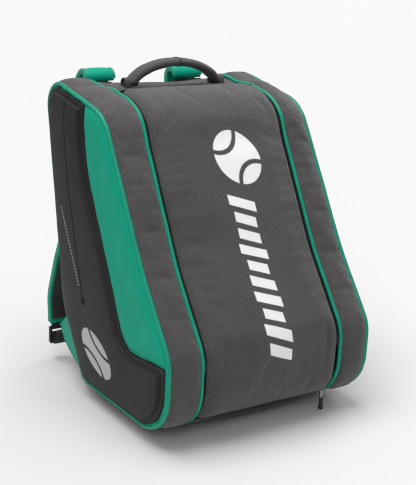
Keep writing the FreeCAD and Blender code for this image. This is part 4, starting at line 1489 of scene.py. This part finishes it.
def lockPieces(side):
    castPiece(side + "_ladder_lock", side + "LadderLock", side + "_lock", "acetal", "buckle_plastic",
              tape["bevel"])
    low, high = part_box(side + "_ladder_lock")
    y, barZ, lowZ = (low.y + high.y) / 2 - frontY, high.z - 0.002 - baseZ, low.z - baseZ
    loop = [((y - 0.0018, barZ + 0.0080), 0), ((y - 0.0020, barZ + 0.0020), 0.0008),
            ((y - 0.0034, barZ), 0.0012), ((y - 0.0020, barZ - 0.0028), 0.0016),
            ((y + 0.0022, barZ - 0.0028), 0.0016), ((y + 0.0034, barZ), 0.0012),
            ((y + 0.0020, barZ + 0.0020), 0.0008), ((y + 0.0018, barZ + 0.0080), 0)]
    webbingRun(side + "LockLoop", side, loop, tape["loopThick"], tape["half"], (side + "_lock_loop",),
               side + "_strap")

    # the webbing comes from the wing, dips and meets the lock from below
    tipY, tipZ = tape["tip"]
    lower = [((tipY - 0.014, tipZ - 0.0018), 0), ((tipY + 0.004, tipZ - 0.0018), 0.005),
             ((y - 0.011, lowZ - 0.0075), 0.006), ((y - 0.0006, lowZ + 0.0030), 0)]
    tail = webbingRun(side + "LowerWebbing", side, lower, tape["thick"], tape["half"],
                      (side + "_lower_webbing",))
    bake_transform(tail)

    # through the lock it runs up behind the middle bar, over it and down again to a folded end
    midZ = barZ - 0.0120
    through = [((y - 0.0004, lowZ + 0.0015), 0), ((y - 0.0030, lowZ + 0.0050), 0.003),
               ((y - 0.0030, midZ + 0.0010), 0.0022), ((y - 0.0005, midZ + 0.0046), 0.0022),
               ((y + 0.0034, midZ + 0.0015), 0.0026), ((y + 0.0040, lowZ + 0.0040), 0.010),
               ((y + 0.0070, lowZ - 0.0060), 0)]
    webbingRun(side + "WebbingEnd", side, through, tape["loopThick"], tape["endHalf"], (), side + "_lock")


wing = {"top": Vector((0.320, 0.103)), "tip": Vector((0.400, 0.046)), "low": Vector((0.277, 0.011)),
        "x": 0.1815, "hollow": 0.006, "twist": 0.010, "belly": 0.0035, "tipWide": 0.0075, "foldFrom": 0.80,
        "foldWide": 0.022, "thick": 0.0022, "flat": (0.112, 0.100), "area": 0.0055,
        "stitch": (0.0040, 0.0027, 0.0004)}


def wingPiece(side):
    # a doubled triangle of the green fabric that twists from the side seam to its folded tip
    sign = sides[side]

    def place(u, v):
        tip = wing["tip"] + Vector((-0.0005, (v - 0.5) * wing["tipWide"]))
        spot = wing["low"].lerp(wing["top"], v).lerp(tip, u)
        x = wing["x"] - wing["hollow"] * math.sin(u * math.pi / 2) - u ** 1.6 * wing["twist"]
        x += wing["belly"] * math.sin(v * math.pi) * (1 - u) + 0.0036 * math.sin(v * 9 + u * 4) * u * (1 - u)
        x -= (1 - v) * wing["foldWide"] * max(0, u - wing["foldFrom"]) / (1 - wing["foldFrom"])
        return Vector((sign * x, frontY + spot.x, baseZ + spot.y))

    piece = gridPiece(side + "Wing", 40, 30, 0.10, 0.085, place)
    ruffle(piece, 0.0008, 40, 51.0)
    thicken(piece, wing["thick"], offset=0)
    finishPiece(piece, paint["green"], "green_fabric", "bag", (side + "_wing",), angle=60)
    run = [place(0.05 + 0.85 * k / 60, 0.93) + Vector((sign * 0.0014, 0, 0)) for k in range(61)]
    stitchRow(side + "WingStitches", run, Vector((sign, 0, 0)), wing["stitch"], "greenThread",
              "green_fabric", "bag")


for side in sides:
    lockPieces(side)
    wingPiece(side)
print("webbing")


# Sliders and pulls, and what the bag holds inside: dividers, shelf and boards.

for side in sides:
    castPiece(side + "_top_slider", side + "TopSlider", side + "_top_slider", "coil", "slider_metal", 0.0003)
    castPiece(side + "_top_pull", side + "TopPull", side + "_top_pull", "rubber", "pull_plastic", 0.0003)
castPiece("lower_slider", "lowerSlider", "lower_slider", "zinc", "slider_metal", 0.0003)
castPiece("lower_pull_tab", "lowerPullTab", "lower_pull", "zinc", "slider_metal", 0.0003)

pullLow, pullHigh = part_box("lower_pull_grip")
pull = {"x": (pullLow.x + pullHigh.x) / 2, "y": (pullLow.y + pullHigh.y) / 2,
        "neck": 0.0022, "flare": 0.0013, "rings": 0.0004, "wide": 1.05, "deep": 0.90}


def pullPlace(turn, v):
    radius = pull["neck"] + pull["flare"] * v + pull["rings"] * math.sin(v * 3 * math.pi)
    radius *= 0.6 + 0.4 * smoothRound(min(v, 1 - v) * 0.020, 0.0016)
    return Vector((pull["x"] + radius * pull["wide"] * math.cos(turn),
                   pull["y"] + radius * pull["deep"] * math.sin(turn),
                   pullHigh.z + (pullLow.z - pullHigh.z) * v))


pullGrip = tubePiece("lowerPullGrip", 20, 30, 0.02, 0.02, pullPlace)
finishPiece(pullGrip, paint["rubber"], "buckle_plastic", "lower_pull", ("lower_pull_grip",), angle=50)

for node, name, material, slot, bevel in (
        ("left_divider", "leftDivider", "lining", "black_fabric", 0.0010),
        ("right_divider", "rightDivider", "lining", "black_fabric", 0.0010),
        ("shelf_panel", "shelfPanel", "lining", "black_fabric", 0.0008),
        ("frame_sheet", "frameSheet", "board", "stiffener", 0.0004),
        ("base_board", "baseBoard", "board", "stiffener", 0.0004)):
    castPiece(node, name, "bag", material, slot, bevel)
print("sliders and inside")
